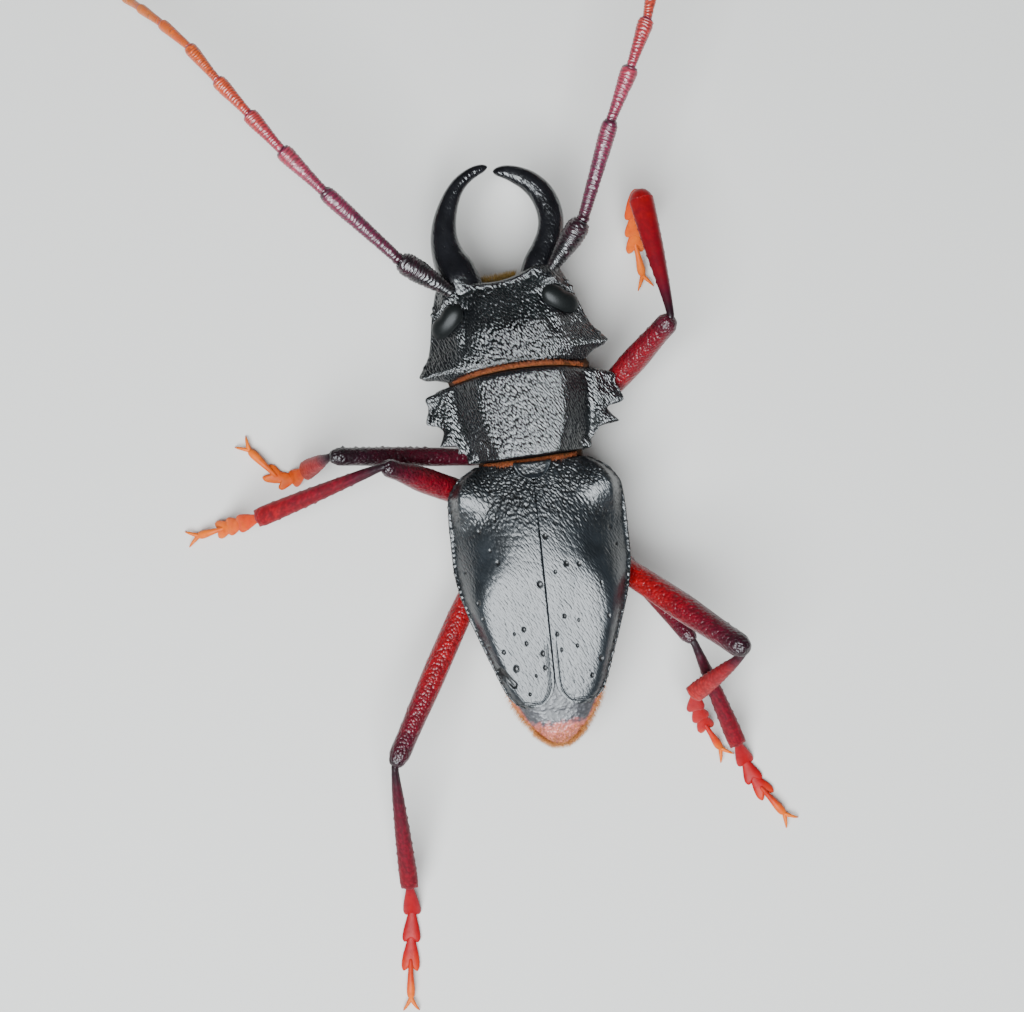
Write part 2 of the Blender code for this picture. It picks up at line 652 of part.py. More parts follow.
def feeler(side, surfaces):
    route = FEELER_ROUTE[side]
    socket, scape_end = Vector(route[0]), Vector(route[1])
    scape = tube("antenna_" + side + "_scape", [socket, scape_end], SCAPE_R, sides=10)
    finish(scape, surfaces[0])
    along = (Vector(route[2]) - scape_end).normalized()
    start = scape_end + along * (GAP + 0.05)
    groups = [("base", 0, 2), ("middle", 2, 5), ("tip", 5, 9)]
    line = [start] + [Vector(p) for p in route[2:]]
    spans = [(b - a).length for a, b in zip(line, line[1:])]
    for part, first, last in groups:
        piece_line = line[first:last + 1]
        if first > 0:
            step = (piece_line[1] - piece_line[0]).normalized()
            piece_line = [piece_line[0] + step * GAP] + piece_line[1:]
        total = sum(spans[first:last])
        radii = []
        done = 0.0
        for k in range(first, last):
            length = spans[k]
            base, apex = FEELER_BASE_R[k], FEELER_APEX_R[k]
            for share, radius in ((0.0, base), (0.25, base * 1.12), (0.8, apex), (0.96, apex * 0.9)):
                radii.append(((done + length * share + (0.12 if share == 0.0 and k > first else 0.0))
                              / total, radius))
            done += length
        radii.append((1.0, radii[-1][1] * 0.6))
        piece = tube("antenna_" + side + "_" + part, piece_line, radii, sides=8 if part != "tip" else 6)
        finish(piece, surfaces[1] if part == "base" else surfaces[2])


# Legs

def leg(name, plan, surfaces):
    kind, side = name.split("_")
    coxa, hip, knee, ankle = (Vector(plan[k]) for k in ("coxa", "hip", "knee", "ankle"))
    # coxa and trochanter, from the breast to the thigh
    top = (BELLY_Z if kind != "fore" else PRO_MARGIN_Z - 0.3 - PRO_KEEL) - GAP
    socket = ball("coxa_" + name, coxa, COXA_SIZE, rings=8, segments=12)
    aim = (Vector(plan["rim"]) - hip).normalized()
    fuse(socket, [tube("trochanter", [coxa, hip - aim * 1.0, hip], [(0.0, 0.8), (0.6, 1.0), (1.0, 0.85)])])
    cut(socket, block("breast_cut", coxa + Vector((-5, -5, top - coxa.z)), coxa + Vector((5, 5, 5))))
    finish(socket, surfaces[0])
    # thigh
    thick = plan["thick"]
    femur = tube("femur_" + name, [hip + aim * GAP, Vector(plan["rim"]), knee],
                 [(0.0, 0.75), (0.06, thick * 0.8), (0.3, thick), (0.6, thick * 0.95), (0.88, thick * 0.85),
                  (0.97, thick * 0.8), (1.0, thick * 0.5)], sides=10)
    spines = []
    front = (knee - hip).cross(Vector((0.0, 0.0, 1.0))).normalized() * (1 if side == "left" else -1)
    places = smooth_line([hip, Vector(plan["rim"]), knee], [0.4 + 0.1 * k for k in range(THIGH_TEETH)])
    for place in places:
        spines.append(tooth(place + front * thick * 0.6, place + front * (thick + 0.25), 0.28, 4))
    fuse(femur, spines)
    finish(femur, surfaces[0])
    # shin
    down = (ankle - knee).normalized()
    back = (Vector(plan["rim"]) - knee).normalized()
    fold = max(back.angle(down), 0.3)
    clear = thick * 0.8 + TIBIA_START_R * 0.8 + GAP
    start = knee + down * (clear / sin(fold) if fold < pi / 2 else clear)
    wide = TIBIA_END_R[kind]
    tibia = tube("tibia_" + name, [start, ankle],
                 [(0.0, TIBIA_START_R * 0.8), (0.1, TIBIA_START_R), (0.5, (TIBIA_START_R + wide) * 0.5),
                  (0.9, wide), (1.0, wide * 0.9)], sides=8,
                 flats=[(0.0, 1.0), (0.4, 0.85), (1.0, TIBIA_FLAT)])
    across = down.cross(Vector((0.0, 0.0, 1.0))).normalized()
    spurs = [tooth(ankle - down * 0.6 + across * turn * wide * 0.5,
                   ankle + down * SPUR_LENGTH * 0.35 + across * turn * (wide + 0.35), 0.3)
             for turn in (1, -1)]
    fuse(tibia, spurs)
    finish(tibia, surfaces[1])
    # foot: three broad joints, a slender claw joint and two claws
    joints = [Vector(plan["start"]) if "start" in plan else ankle + down * (GAP + 0.1)]
    joints += [Vector((p[0], p[1], p[2] if len(p) > 2 else SOLE_Z)) for p in plan["foot"]]
    tip = Vector((plan["claws"][0], plan["claws"][1], CLAW_JOINT_Z))
    pads = []
    for a, b in zip(joints, joints[1:]):
        reach = (b - a).normalized() * 0.35
        pads.append(tube("pad", [a, b + reach], PAD_R, flat=PAD_FLAT, phase=pi / 8))
    foot = pads.pop(0)
    foot.name = foot.data.name = "tarsus_" + name
    last = (joints[3] - joints[2]).normalized()
    for spread, drop in LOBE_SPREAD:
        lobe = Matrix.Rotation(radians(spread), 3, "Z") @ last
        base = joints[3] - Vector((0.0, 0.0, drop))
        pads.append(tube("lobe", [base - lobe * 0.6, base + lobe * 1.1], LOBE_R, sides=7, flat=PAD_FLAT,
                         phase=drop * 4.0))
    root = joints[3] - last * 0.5 + Vector((0.0, 0.0, 0.25))
    rise = root.lerp(tip, 0.5) + Vector((0.0, 0.0, 0.35))
    pads.append(tube("claw_joint", [root, rise, tip], CLAW_JOINT_R, sides=7, phase=0.3))
    run = tip - rise
    run.z = 0.0
    run.normalize()
    for spread, drop in CLAW_OPEN:
        open_run = Matrix.Rotation(radians(spread), 3, "Z") @ run
        bend = tip + open_run * CLAW_LENGTH * 0.6 + Vector((0.0, 0.0, 0.05 - drop))
        point = tip + open_run * CLAW_LENGTH * 0.95 - Vector((0.0, 0.0, CLAW_JOINT_Z))
        pads.append(tube("claw", [tip - open_run * 0.25, bend, point], CLAW_R, sides=5, phase=drop * 5.0))
    fuse(foot, pads)
    stand_flat(foot)
    finish(foot, surfaces[2])


def centre_on_origin(things):
    """Hang the pieces on an empty that puts the model's origin under its middle."""
    corners = [v.co for thing in things for v in thing.data.vertices]
    low = [min(c[k] for c in corners) for k in range(3)]
    high = [max(c[k] for c in corners) for k in range(3)]
    carrier = bpy.data.objects.new("carrier", None)
    bpy.context.scene.collection.objects.link(carrier)
    for thing in things:
        thing.parent = carrier
    carrier.location = (-(low[0] + high[0]) / 2, -(low[1] + high[1]) / 2, -low[2])


def build():
    remove(list(bpy.data.objects))
    black = material("black_chitin", BLACK, 0.35)
    purple = material("purple_black", PURPLE, 0.3)
    red = material("red_leg", RED, 0.3)
    orange = material("orange_foot", ORANGE, 0.45)
    grey = material("eye_grey", EYE_GREY, 0.15)
    for side in ("left", "right"):
        elytron(side, black)
        mandible(side, black)
        finish(eye_ball("eye_" + side, side, 0.0), grey)
        palp("maxillary", side, purple)
        palp("labial", side, purple)
        feeler(side, (black, purple, red))
    scutellum(black)
    pterothorax(black)
    abdomen(black)
    prothorax(black)
    head(black)
    labrum(black)
    for name, plan in LEGS.items():
        leg(name, plan, (red, red, orange))
    centre_on_origin([thing for thing in bpy.data.objects if thing.type == "MESH"])


build()
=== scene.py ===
"""Male Prionacalus longhorn beetle: the looks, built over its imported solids."""

import math

import bpy
import numpy as np
from mathutils import Matrix, Vector, noise


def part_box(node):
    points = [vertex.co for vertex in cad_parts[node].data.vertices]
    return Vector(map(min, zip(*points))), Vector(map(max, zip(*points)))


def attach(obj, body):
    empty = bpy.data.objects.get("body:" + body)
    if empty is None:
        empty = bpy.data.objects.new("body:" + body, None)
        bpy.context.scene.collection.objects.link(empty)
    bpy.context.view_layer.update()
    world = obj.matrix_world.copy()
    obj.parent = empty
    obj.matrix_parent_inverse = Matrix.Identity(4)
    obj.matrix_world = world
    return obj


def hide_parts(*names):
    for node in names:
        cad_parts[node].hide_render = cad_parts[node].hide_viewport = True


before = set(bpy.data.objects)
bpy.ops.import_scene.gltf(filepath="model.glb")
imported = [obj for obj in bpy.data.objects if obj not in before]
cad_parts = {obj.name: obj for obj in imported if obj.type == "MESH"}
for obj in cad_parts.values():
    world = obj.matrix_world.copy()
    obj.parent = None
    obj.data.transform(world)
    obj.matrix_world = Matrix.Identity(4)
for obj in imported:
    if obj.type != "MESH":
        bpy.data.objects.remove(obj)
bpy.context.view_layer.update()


# Floor, light and camera
# The beetle stands on a pale card floor under one soft lamp that hangs over its tail, with a
# dim room round it: level plates shine and steep ones stay dark.
# The camera looks straight down from above its back, as the photograph does.
MM = 0.001
LENS_MM = 70.0
SENSOR_MM = 36.0
CAMERA_AT = (2.69, 3.92, 233.0)
CAMERA_TURN = 173.91
LAMP_AT = (90.0, 165.0, 430.0)
LAMP_SIZE = 0.44
LAMP_WATTS = 7.6
LAMP_COLOUR = (0.90, 0.96, 1.0)
ROOM_LIGHT = 0.07
ROOM_COLOUR = (0.92, 0.96, 1.0, 1.0)
FLOOR_SIZE = 5.0
FLOOR_GAP = 0.00002
FLOOR_COLOUR = (0.62, 0.60, 0.57, 1.0)

# The beetle's own axes, in millimetres: wing cases along Y, head toward -Y, its left toward +X,
# floor at Z = 0. The scutellum's solid says where they lie.
scutellum_low, scutellum_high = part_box("scutellum")
HOME = np.array([(scutellum_low.x + scutellum_high.x) / 2, scutellum_low.y + 0.6 * MM, 0.0])


def spot(x, y, z):
    """A place on the beetle's own axes, in metres on the model's."""
    return Vector((x * MM + HOME[0], y * MM + HOME[1], z * MM))


bpy.ops.object.camera_add(location=spot(*CAMERA_AT), rotation=(0.0, 0.0, math.radians(CAMERA_TURN)))
camera = bpy.context.object
camera.data.lens = LENS_MM
camera.data.sensor_width = SENSOR_MM
camera.data.clip_start = 0.005
bpy.context.scene.camera = camera

lamp_turn = (spot(0.0, 0.0, 8.0) - spot(*LAMP_AT)).to_track_quat("-Z", "Y").to_euler()
bpy.ops.object.light_add(type="AREA", location=spot(*LAMP_AT), rotation=lamp_turn)
lamp = bpy.context.object
lamp.data.shape = "DISK"
lamp.data.size = LAMP_SIZE
lamp.data.energy = LAMP_WATTS
lamp.data.color = LAMP_COLOUR

room = bpy.data.worlds.new("room")
room.use_nodes = True
backdrop = room.node_tree.nodes["Background"]
backdrop.inputs["Color"].default_value = ROOM_COLOUR
backdrop.inputs["Strength"].default_value = ROOM_LIGHT
bpy.context.scene.world = room

bpy.ops.mesh.primitive_plane_add(size=FLOOR_SIZE, location=(0.0, 0.0, -FLOOR_GAP))
floor = bpy.context.object
floor.name = "floor"
card = bpy.data.materials.new("pale_card")
card.use_nodes = True
card_shader = card.node_tree.nodes["Principled BSDF"]
card_shader.inputs["Base Color"].default_value = FLOOR_COLOUR
card_shader.inputs["Roughness"].default_value = 0.9
floor.data.materials.append(card)


# Head shell
# One hard black capsule, widest at its sharp hind angles, with a hollowed front edge between the
# jaws, knobs round the feeler sockets and a dense skin of fine granules. A grid is shaped in rows,
# extruded down into a closed plate, smoothed, and its thorns are drawn out of the edge.
SIDES = {"left": 1, "right": -1}
HEAD_PIVOT = (0.73, -12.25)
HEAD_YAW = 5.6
HEAD_MARGIN_Z = 9.1
HEAD_CROWN = 2.6
HEAD_THROAT = 3.2
HEAD_SIDE_Y = (-10.8, -9.6, -7.3, -5.6, -3.8, -1.95, -0.05, 0.45, 1.1)
HEAD_MIDDLE_Y = (-9.2, -8.5, -6.8, -5.3, -3.7, -2.0, -0.5, 0.15, 0.7)
HEAD_HALF = (6.3, 7.0, 7.9, 8.4, 8.8, 9.5, 10.5, 8.9, 7.3)
EYE_PLACE = (6.45, -5.7, 10.05)
EYE_SIZE = (2.35, 1.4, 1.1)
EYE_TURN = 38.0
EYE_ROLL = 22.0
SOCKET_KNOBS = ((6.0, -8.6, 0.9, 0.8), (4.9, -9.5, 0.5, 0.45), (6.7, -7.7, 0.45, 0.35),
                (3.8, -9.7, 0.55, 0.5))
FACE_START = -3.6
FACE_DROP = 2.35


def ease(share):
    """Smooth step from 0 to 1."""
    share = np.clip(share, 0.0, 1.0)
    return share * share * (3.0 - 2.0 * share)


def rotated(x, y, degrees):
    """A flat place turned round the origin."""
    c, s = math.cos(math.radians(degrees)), math.sin(math.radians(degrees))
    return c * x - s * y, s * x + c * y


def turned(points, pivot, yaw):
    """Points of a turned frame on the beetle's axes."""
    points = np.array(points, float)
    x, y = rotated(points[..., 0], points[..., 1], yaw)
    return np.stack([pivot[0] + x, pivot[1] + y, points[..., 2]], axis=-1)


def on_head(points):
    """Places in the head's own frame, on the beetle's axes."""
    return turned(points, HEAD_PIVOT, HEAD_YAW)


def read_rows(elements, what="co"):
    """One vector for each point or face of a mesh: its place, or its normal."""
    flat = np.empty(len(elements) * 3)
    elements.foreach_get(what, flat)
    return flat.reshape(-1, 3)


def read_points(piece):
    """A piece's points on the beetle's axes, in millimetres."""
    return (read_rows(piece.data.vertices) - HOME) / MM


def set_points(piece, points):
    """Put a piece's points where they belong on the beetle's axes, in millimetres."""
    piece.data.vertices.foreach_set("co", (points * MM + HOME).ravel())
    piece.data.update()


def choose(*pieces):
    """Select these pieces alone, the first as the active one."""
    bpy.ops.object.select_all(action="DESELECT")
    for piece in pieces:
        piece.select_set(True)
    bpy.context.view_layer.objects.active = pieces[0]


def face_outward(piece):
    """Turn every face outward."""
    choose(piece)
    bpy.ops.object.mode_set(mode="EDIT")
    bpy.ops.mesh.select_all(action="SELECT")
    bpy.ops.mesh.normals_make_consistent(inside=False)
    bpy.ops.object.mode_set(mode="OBJECT")


def soften(piece, levels):
    """Smooth a cage into the finished surface."""
    bpy.ops.object.modifier_add(type="SUBSURF")
    smoothing = piece.modifiers[-1]
    smoothing.levels = smoothing.render_levels = levels
    bpy.ops.object.modifier_apply(modifier=smoothing.name)
    bpy.ops.object.shade_smooth()


# faces of a plate that look up more than this are split once more
FINE_SLOPE = 0.25


def plate(name, top, bottom, levels=2, fine_top=True):
    """A closed shell plate between two sheets of points in millimetres, edge to edge."""
    rows, columns = top.shape[:2]
    bpy.ops.mesh.primitive_grid_add(x_subdivisions=columns - 1, y_subdivisions=rows - 1, size=2.0)
    piece = bpy.context.object
    piece.name = piece.data.name = name
    bpy.ops.object.mode_set(mode="EDIT")
    bpy.ops.mesh.select_all(action="SELECT")
    for _ in range(2):
        bpy.ops.mesh.extrude_region_move(TRANSFORM_OT_translate={"value": (0.0, 0.0, 1.0)})
    bpy.ops.object.mode_set(mode="OBJECT")
    place = read_rows(piece.data.vertices)
    column = np.rint((place[:, 0] + 1.0) / 2.0 * (columns - 1)).astype(int)
    row = np.rint((place[:, 1] + 1.0) / 2.0 * (rows - 1)).astype(int)
    lift = (place[:, 2] / 2.0)[:, None]
    set_points(piece, bottom[row, column] * (1.0 - lift) + top[row, column] * lift)
    face_outward(piece)
    soften(piece, levels)
    if fine_top:
        bpy.ops.object.mode_set(mode="EDIT")
        bpy.ops.mesh.select_all(action="DESELECT")
        bpy.ops.object.mode_set(mode="OBJECT")
        slopes = read_rows(piece.data.polygons, "normal")
        piece.data.polygons.foreach_set("select", slopes[:, 2] > FINE_SLOPE)
        bpy.context.tool_settings.mesh_select_mode = (False, False, True)
        bpy.ops.object.mode_set(mode="EDIT")
        bpy.ops.mesh.subdivide(number_cuts=1, smoothness=0.0)
        bpy.ops.object.mode_set(mode="OBJECT")
    return piece


def edge_spread(count):
    """Shares from -1 to 1 that lie closer together toward the edges."""
    share = np.linspace(-1.0, 1.0, count)
    return share * (1.3 - 0.3 * share ** 2)


def draw_out(points, root, tip, reach, point=1.7):
    """Draw the skin near a root out to a tip, as a thorn."""
    away = np.linalg.norm(points - np.array(root), axis=1) / reach
    share = np.clip(1.0 - away, 0.0, 1.0) ** point
    points += share[:, None] * (np.array(tip) - np.array(root))


def grow_thorns(points, thorns, sign, heights, frame, point=1.7):
    """Draw thorns out of a plate's edge; heights are those of their roots and tips, and frame
    puts the plate's own places on the beetle's axes."""
    for root, tip, reach in thorns:
        start = frame((sign * root[0], root[1], heights[0]))
        end = frame((sign * tip[0], tip[1], heights[1]))
        draw_out(points, start, end, reach, point)


def write_values(piece, name, values):
    """Write a number for each point as an attribute that the finishes read."""
    attribute = piece.data.attributes.new(name, "FLOAT", "POINT")
    attribute.data.foreach_set("value", np.asarray(values, np.float32))


def roughen(piece, relief, depth, upward_only=False):
    """Move each point along its normal by a relief function of its place, from 0 to 1, and write
    the relief as the attribute rise, by which the finish makes the valleys rougher and paints shade into
    them."""
    points = read_points(piece)
    slopes = read_rows(piece.data.vertices, "normal")
    heights = np.array([relief(Vector(p), n) for p, n in zip(points, slopes)])
    share = ease((slopes[:, 2] + 0.1) / 0.4) if upward_only else 1.0
    set_points(piece, points + slopes * ((heights - 0.5) * depth * share)[:, None])
    write_values(piece, "rise", 0.5 + (heights - 0.5) * share)


GRAIN_TURN = 120.0


def granule(place, size, stretch=1.0):
    """Rounded grains set close together, 0 between them and 1 on their tops. They are stretched
    along the slanting way in which the grains of this shell lie."""
    along, across = rotated(place.x, place.y, -GRAIN_TURN)
    distance = noise.voronoi(Vector((along / stretch, across, place.z)) / size)[0][0]
    return max(0.0, 1.0 - (distance / 0.6) ** 2)


def head_top(x, y, half):
    """Height of the head's upper face in its own frame."""
    share = np.abs(x) / half
    height = HEAD_MARGIN_Z + 0.35 + HEAD_CROWN * (1.0 - share ** 2.6)
    # the face slopes down forward from between the eyes, to the raised rim over the jaws
    height -= FACE_DROP * np.clip((FACE_START - y) / 6.5, 0.0, 1.0) ** 1.15 * (1.0 - 0.7 * share ** 2)
    for knob_x, knob_y, reach, rise in SOCKET_KNOBS:
        height += rise * np.exp(-((np.abs(x) - knob_x) ** 2 + (y - knob_y) ** 2) / reach ** 2)
    # shallow furrow down the middle of the face, two small pits at its end
    height -= 0.12 * np.exp(-(x / 0.3) ** 2) * ease((-y - 3.5) / 1.5)
    height -= 0.25 * np.exp(-(((x - 2.1) / 0.5) ** 2 + ((y + 3.0) / 0.7) ** 2))
    # furrow that runs back from inside each eye, and the slope behind the eye
    furrow = np.exp(-((np.abs(x) - 4.15 - 0.2 * (y + 6.8)) / 0.5) ** 2)
    height -= 0.42 * furrow * ease((y + 7.6) / 1.2) * ease((-1.6 - y) / 1.2)
    height -= 0.62 * ease((np.abs(x) - 5.4) / 1.8) * np.exp(-((y + 3.3) / 1.9) ** 2)
    return height


def eye_distance(x, y):
    """How far a place is from the eye's middle, 1 on the eye's outline."""
    along, across = rotated(np.abs(x) - EYE_PLACE[0], y - EYE_PLACE[1], -EYE_TURN)
    return np.sqrt((along / EYE_SIZE[0]) ** 2 + (across / EYE_SIZE[1]) ** 2)


stations = np.linspace(0.0, 1.0, 24)
knots = np.linspace(0.0, 1.0, len(HEAD_HALF))
side_y = np.interp(stations, knots, HEAD_SIDE_Y)
middle_y = np.interp(stations, knots, HEAD_MIDDLE_Y)
half = np.interp(stations, knots, HEAD_HALF)
share = edge_spread(37)
notch = np.interp(stations, (0.0, 0.3, 1.0), (1.5, 1.0, 1.0))[:, None]
head_x = half[:, None] * share
head_y = side_y[:, None] + (middle_y - side_y)[:, None] * (1.0 - share ** 2) ** notch
head_y += 0.55 * ease((stations - 0.82) / 0.18)[:, None] * ease(-head_x / 4.0)
head_z = head_top(head_x, head_y, half[:, None])
around_eye = eye_distance(head_x, head_y)
head_z += 0.1 * np.exp(-((around_eye - 1.3) / 0.2) ** 2) - 0.45 * ease((0.95 - around_eye) / 0.4)
from_front = head_y - head_y[0]
head_z += 0.3 * np.exp(-((from_front - 0.35) / 0.28) ** 2)
head_z -= 0.35 * np.clip(1.0 - from_front / 0.35, 0.0, 1.0)
head_z -= 0.5 * np.clip(1.0 - (head_y[-1] - head_y) / 0.5, 0.0, 1.0) ** 1.5
head_low = HEAD_MARGIN_Z - 0.3 - HEAD_THROAT * (1.0 - np.abs(share) ** 3)
upper = on_head(np.dstack([head_x, head_y, head_z]))
lower = on_head(np.dstack([head_x, head_y, np.broadcast_to(head_low, head_x.shape)]))
skull = plate("skull", upper, lower)

HEAD_THORNS = (((9.6, -0.9), (11.0, 0.25), 1.5), ((9.4, -2.2), (9.75, -2.05), 0.4),
               ((9.0, -3.2), (9.35, -3.1), 0.4), ((8.75, -4.1), (9.1, -4.0), 0.4),
               ((9.8, -1.4), (10.3, -1.25), 0.45), ((7.6, -7.6), (7.95, -7.7), 0.4),
               ((7.9, -6.9), (8.25, -6.95), 0.4))
points = read_points(skull)
for sign in SIDES.values():
    grow_thorns(points, HEAD_THORNS, sign, (HEAD_MARGIN_Z + 0.1, HEAD_MARGIN_Z + 0.25), on_head)
set_points(skull, points)


def close_grains(place, normal):
    """Relief of fine grains, drawn long, that lie close together."""
    return 0.1 + 0.22 * granule(place, 0.3, 2.2)


def head_relief(place, normal):
    """Fine close grains, a knobbly rim along the front edge, and a smooth low ring round each eye that the
    finish paints dark as valley shade.
    """
    x, y = rotated(place.x - HEAD_PIVOT[0], place.y - HEAD_PIVOT[1], -HEAD_YAW)
    rim_bend = (HEAD_SIDE_Y[0] - HEAD_MIDDLE_Y[0]) * min(1.0, (x / HEAD_HALF[0]) ** 2)
    behind_rim = y - HEAD_MIDDLE_Y[0] - rim_bend
    rim = max(0.0, 1.0 - behind_rim / 1.1) if abs(x) < HEAD_HALF[0] else 0.0
    knobs = granule(place + Vector((3.0, 0.0, 0.0)), 0.62)
    relief = close_grains(place, normal) + 3.0 * rim * knobs
    return 0.1 + (relief - 0.1) * float(ease((eye_distance(x, y) - 1.0) / 0.5))


roughen(skull, head_relief, 0.11, upward_only=True)


def feed(finish, node, inputs):
    """Give a node's sockets their values, or link them to the outputs of other nodes."""
    for socket, value in inputs.items():
        if isinstance(value, bpy.types.NodeSocket):
            finish.node_tree.links.new(value, node.inputs[socket])
        else:
            node.inputs[socket].default_value = value


def add_node(finish, kind, inputs, **settings):
    """A node of a finish, with its plain settings and what its sockets get."""
    node = finish.node_tree.nodes.new(kind)
    for name, value in settings.items():
        setattr(node, name, value)
    feed(finish, node, inputs)
    return node


def new_finish(name, inputs):
    """A finish, its shader with these values, and the place on the piece that patterns follow."""
    finish = bpy.data.materials.new(name)
    finish.use_nodes = True
    shader = finish.node_tree.nodes["Principled BSDF"]
    feed(finish, shader, inputs)
    return finish, shader, add_node(finish, "ShaderNodeTexCoord", {}).outputs["Object"]


def speckle(finish, where, scale, detail=2.0):
    """The value of a noise pattern."""
    inputs = {"Vector": where, "Scale": scale, "Detail": detail}
    return add_node(finish, "ShaderNodeTexNoise", inputs).outputs["Fac"]


def spread(finish, value, low, high, start=0.0, end=1.0):
    """A value that runs from low to high while another runs from start to end."""
    inputs = {"Value": value, "From Min": start, "From Max": end, "To Min": low, "To Max": high}
    return add_node(finish, "ShaderNodeMapRange", inputs).outputs["Result"]


def combined(finish, operation, first, second):
    """Two values added or multiplied."""
    return add_node(finish, "ShaderNodeMath", {0: first, 1: second}, operation=operation).outputs[0]


def colour_run(finish, value, stops):
    """A colour read along a list of (value, colour)."""
    run = add_node(finish, "ShaderNodeValToRGB", {"Fac": value})
    marks = run.color_ramp.elements
    marks[0].position, marks[1].position = stops[0][0], stops[-1][0]
    marks[0].color, marks[1].color = (*stops[0][1], 1.0), (*stops[-1][1], 1.0)
    for place, colour in stops[1:-1]:
        marks.new(place).color = (*colour, 1.0)
    return run.outputs["Color"]


def attribute(finish, name):
    """A number that is written on the piece's points."""
    return add_node(finish, "ShaderNodeAttribute", {}, attribute_name=name).outputs["Fac"]


# the heights of relief from which on a place counts as a valley or as a top
VALLEY = 0.15
TOP = 0.8


def lift_by(finish, low, high):
    """A value that runs from low in the valleys of a piece's relief to high on its tops."""
    return spread(finish, attribute(finish, "rise"), low, high, VALLEY, TOP)


def painted_relief_shade(finish, colour, valley, top):
    """A colour painted darker in the valleys of a piece's relief as shade, and lighter on its tops as light
    where top is over 1.
    """
    inputs = {"Factor": 1.0, 6: colour, 7: lift_by(finish, valley, top)}
    return add_node(finish, "ShaderNodeMix", inputs, data_type="RGBA", blend_type="MULTIPLY").outputs[2]


def bump(finish, height, distance, strength, below=None, invert=False):
    """The normal of a bump of that height; below is a bump that it lies on."""
    inputs = {"Height": height, "Distance": distance, "Strength": strength}
    if below is not None:
        inputs["Normal"] = below
    return add_node(finish, "ShaderNodeBump", inputs, invert=invert).outputs["Normal"]


def wrinkle(finish, where, scale, distance, strength, below=None):
    """A bump over noise of that scale; below is a bump that it lies on."""
    return bump(finish, speckle(finish, where, scale, 4.0), distance, strength, below)


LONG_GRAIN = (3.0, 1.0, 3.0)
ROUND_GRAIN = (1.0, 1.0, 1.0)


def slanting_grain(finish, where, pitch, depth, below, shape=LONG_GRAIN):
    """A bump of fine grains, drawn long in the slanting way of this shell's sculpture."""
    inputs = {"Vector": where, "Rotation": (0.0, 0.0, math.radians(GRAIN_TURN)), "Scale": shape}
    slant = add_node(finish, "ShaderNodeMapping", inputs, vector_type="TEXTURE").outputs["Vector"]
    inputs = {"Vector": slant, "Scale": 1.0 / (pitch * MM)}
    grains = add_node(finish, "ShaderNodeTexVoronoi", inputs).outputs["Distance"]
    return bump(finish, combined(finish, "MULTIPLY", grains, grains), depth * MM, 1.0, below, invert=True)


def black_shell(name, colour, valley_rough, top_rough, shine, leather_scale, leather_depth, grain_pitch,
                grain_depth):
    """Satin black chitin: duller in the valleys of its relief than on the tops and painted darker there as
    shade, with faint colour patches, a fine leathery wrinkle and a slanting grain."""
    finish, shader, where = new_finish(name, {"IOR": 1.62, "Specular IOR Level": shine})
    patches = speckle(finish, where, 420.0, 5.0)
    tint = colour_run(finish, patches, ((0.35, colour), (0.7, [2.0 * c + 0.002 for c in colour])))
    vary = spread(finish, patches, -0.05, 0.05)
    leather = wrinkle(finish, where, leather_scale, leather_depth, 0.5)
    feed(finish, shader, {
        # painted shade: the colour falls to 0.15 of itself in the valleys of the relief
        "Base Color": painted_relief_shade(finish, tint, 0.15, 1.0),
        "Roughness": combined(finish, "ADD", lift_by(finish, valley_rough, top_rough), vary),
        "Normal": slanting_grain(finish, where, grain_pitch, grain_depth, leather),
    })
    return finish


def dress(piece, finish, slot, *nodes):
    """Give a piece its finish, let it ride on the still body and stand for its solids."""
    piece.data.materials.clear()
    piece.data.materials.append(finish)
    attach(piece, "root")
    if nodes:
        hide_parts(*nodes)


granulate_black = black_shell("granulate_black", (0.003, 0.004, 0.005), 0.3, 0.2, 0.8, 7000.0, 0.00001,
                              0.175, 0.13)
dress(skull, granulate_black, "black_chitin", "head")


# Eyes
# Two kidney-shaped compound eyes, smooth and dark grey, that bulge from beside the feeler
# sockets round to the side of the head. Each is a ball drawn long and sunk in its rim.
EYE_COLOURS = ((0.0, (0.010, 0.011, 0.011)), (1.0, (0.004, 0.005, 0.005)))
eye_grey, eye_shader, where = new_finish("eye_grey", {"IOR": 1.5, "Roughness": 0.34,
                                                      "Specular IOR Level": 0.2})
facets = add_node(eye_grey, "ShaderNodeTexVoronoi", {"Vector": where, "Scale": 9000.0}).outputs["Distance"]
feed(eye_grey, eye_shader, {
    "Base Color": colour_run(eye_grey, facets, EYE_COLOURS),
    "Normal": bump(eye_grey, facets, 0.00002, 0.25),
})


def ball(segments, rings):
    """A smooth ball of radius 1, and its points."""
    bpy.ops.mesh.primitive_uv_sphere_add(segments=segments, ring_count=rings, radius=1.0)
    bpy.ops.object.shade_smooth()
    piece = bpy.context.object
    return piece, read_rows(piece.data.vertices)


for side, sign in SIDES.items():
    middle = on_head((sign * EYE_PLACE[0], EYE_PLACE[1], EYE_PLACE[2]))
    eye, round_points = ball(64, 40)
    eye.name = eye.data.name = "compound_eye_" + side
    turn = (Matrix.Rotation(math.radians(HEAD_YAW + sign * EYE_TURN), 3, "Z")
            @ Matrix.Rotation(math.radians(sign * EYE_ROLL), 3, "Y"))
    bean = round_points * np.array((EYE_SIZE[0], EYE_SIZE[1], EYE_SIZE[2] * 0.85))
    # the front edge is notched round the feeler socket
    bean[:, 1] += 0.28 * np.exp(-(bean[:, 0] / 0.8) ** 2) * ease(-round_points[:, 1])
    set_points(eye, bean @ np.array(turn).T + middle)
    dress(eye, eye_grey, "eye", "eye_" + side)


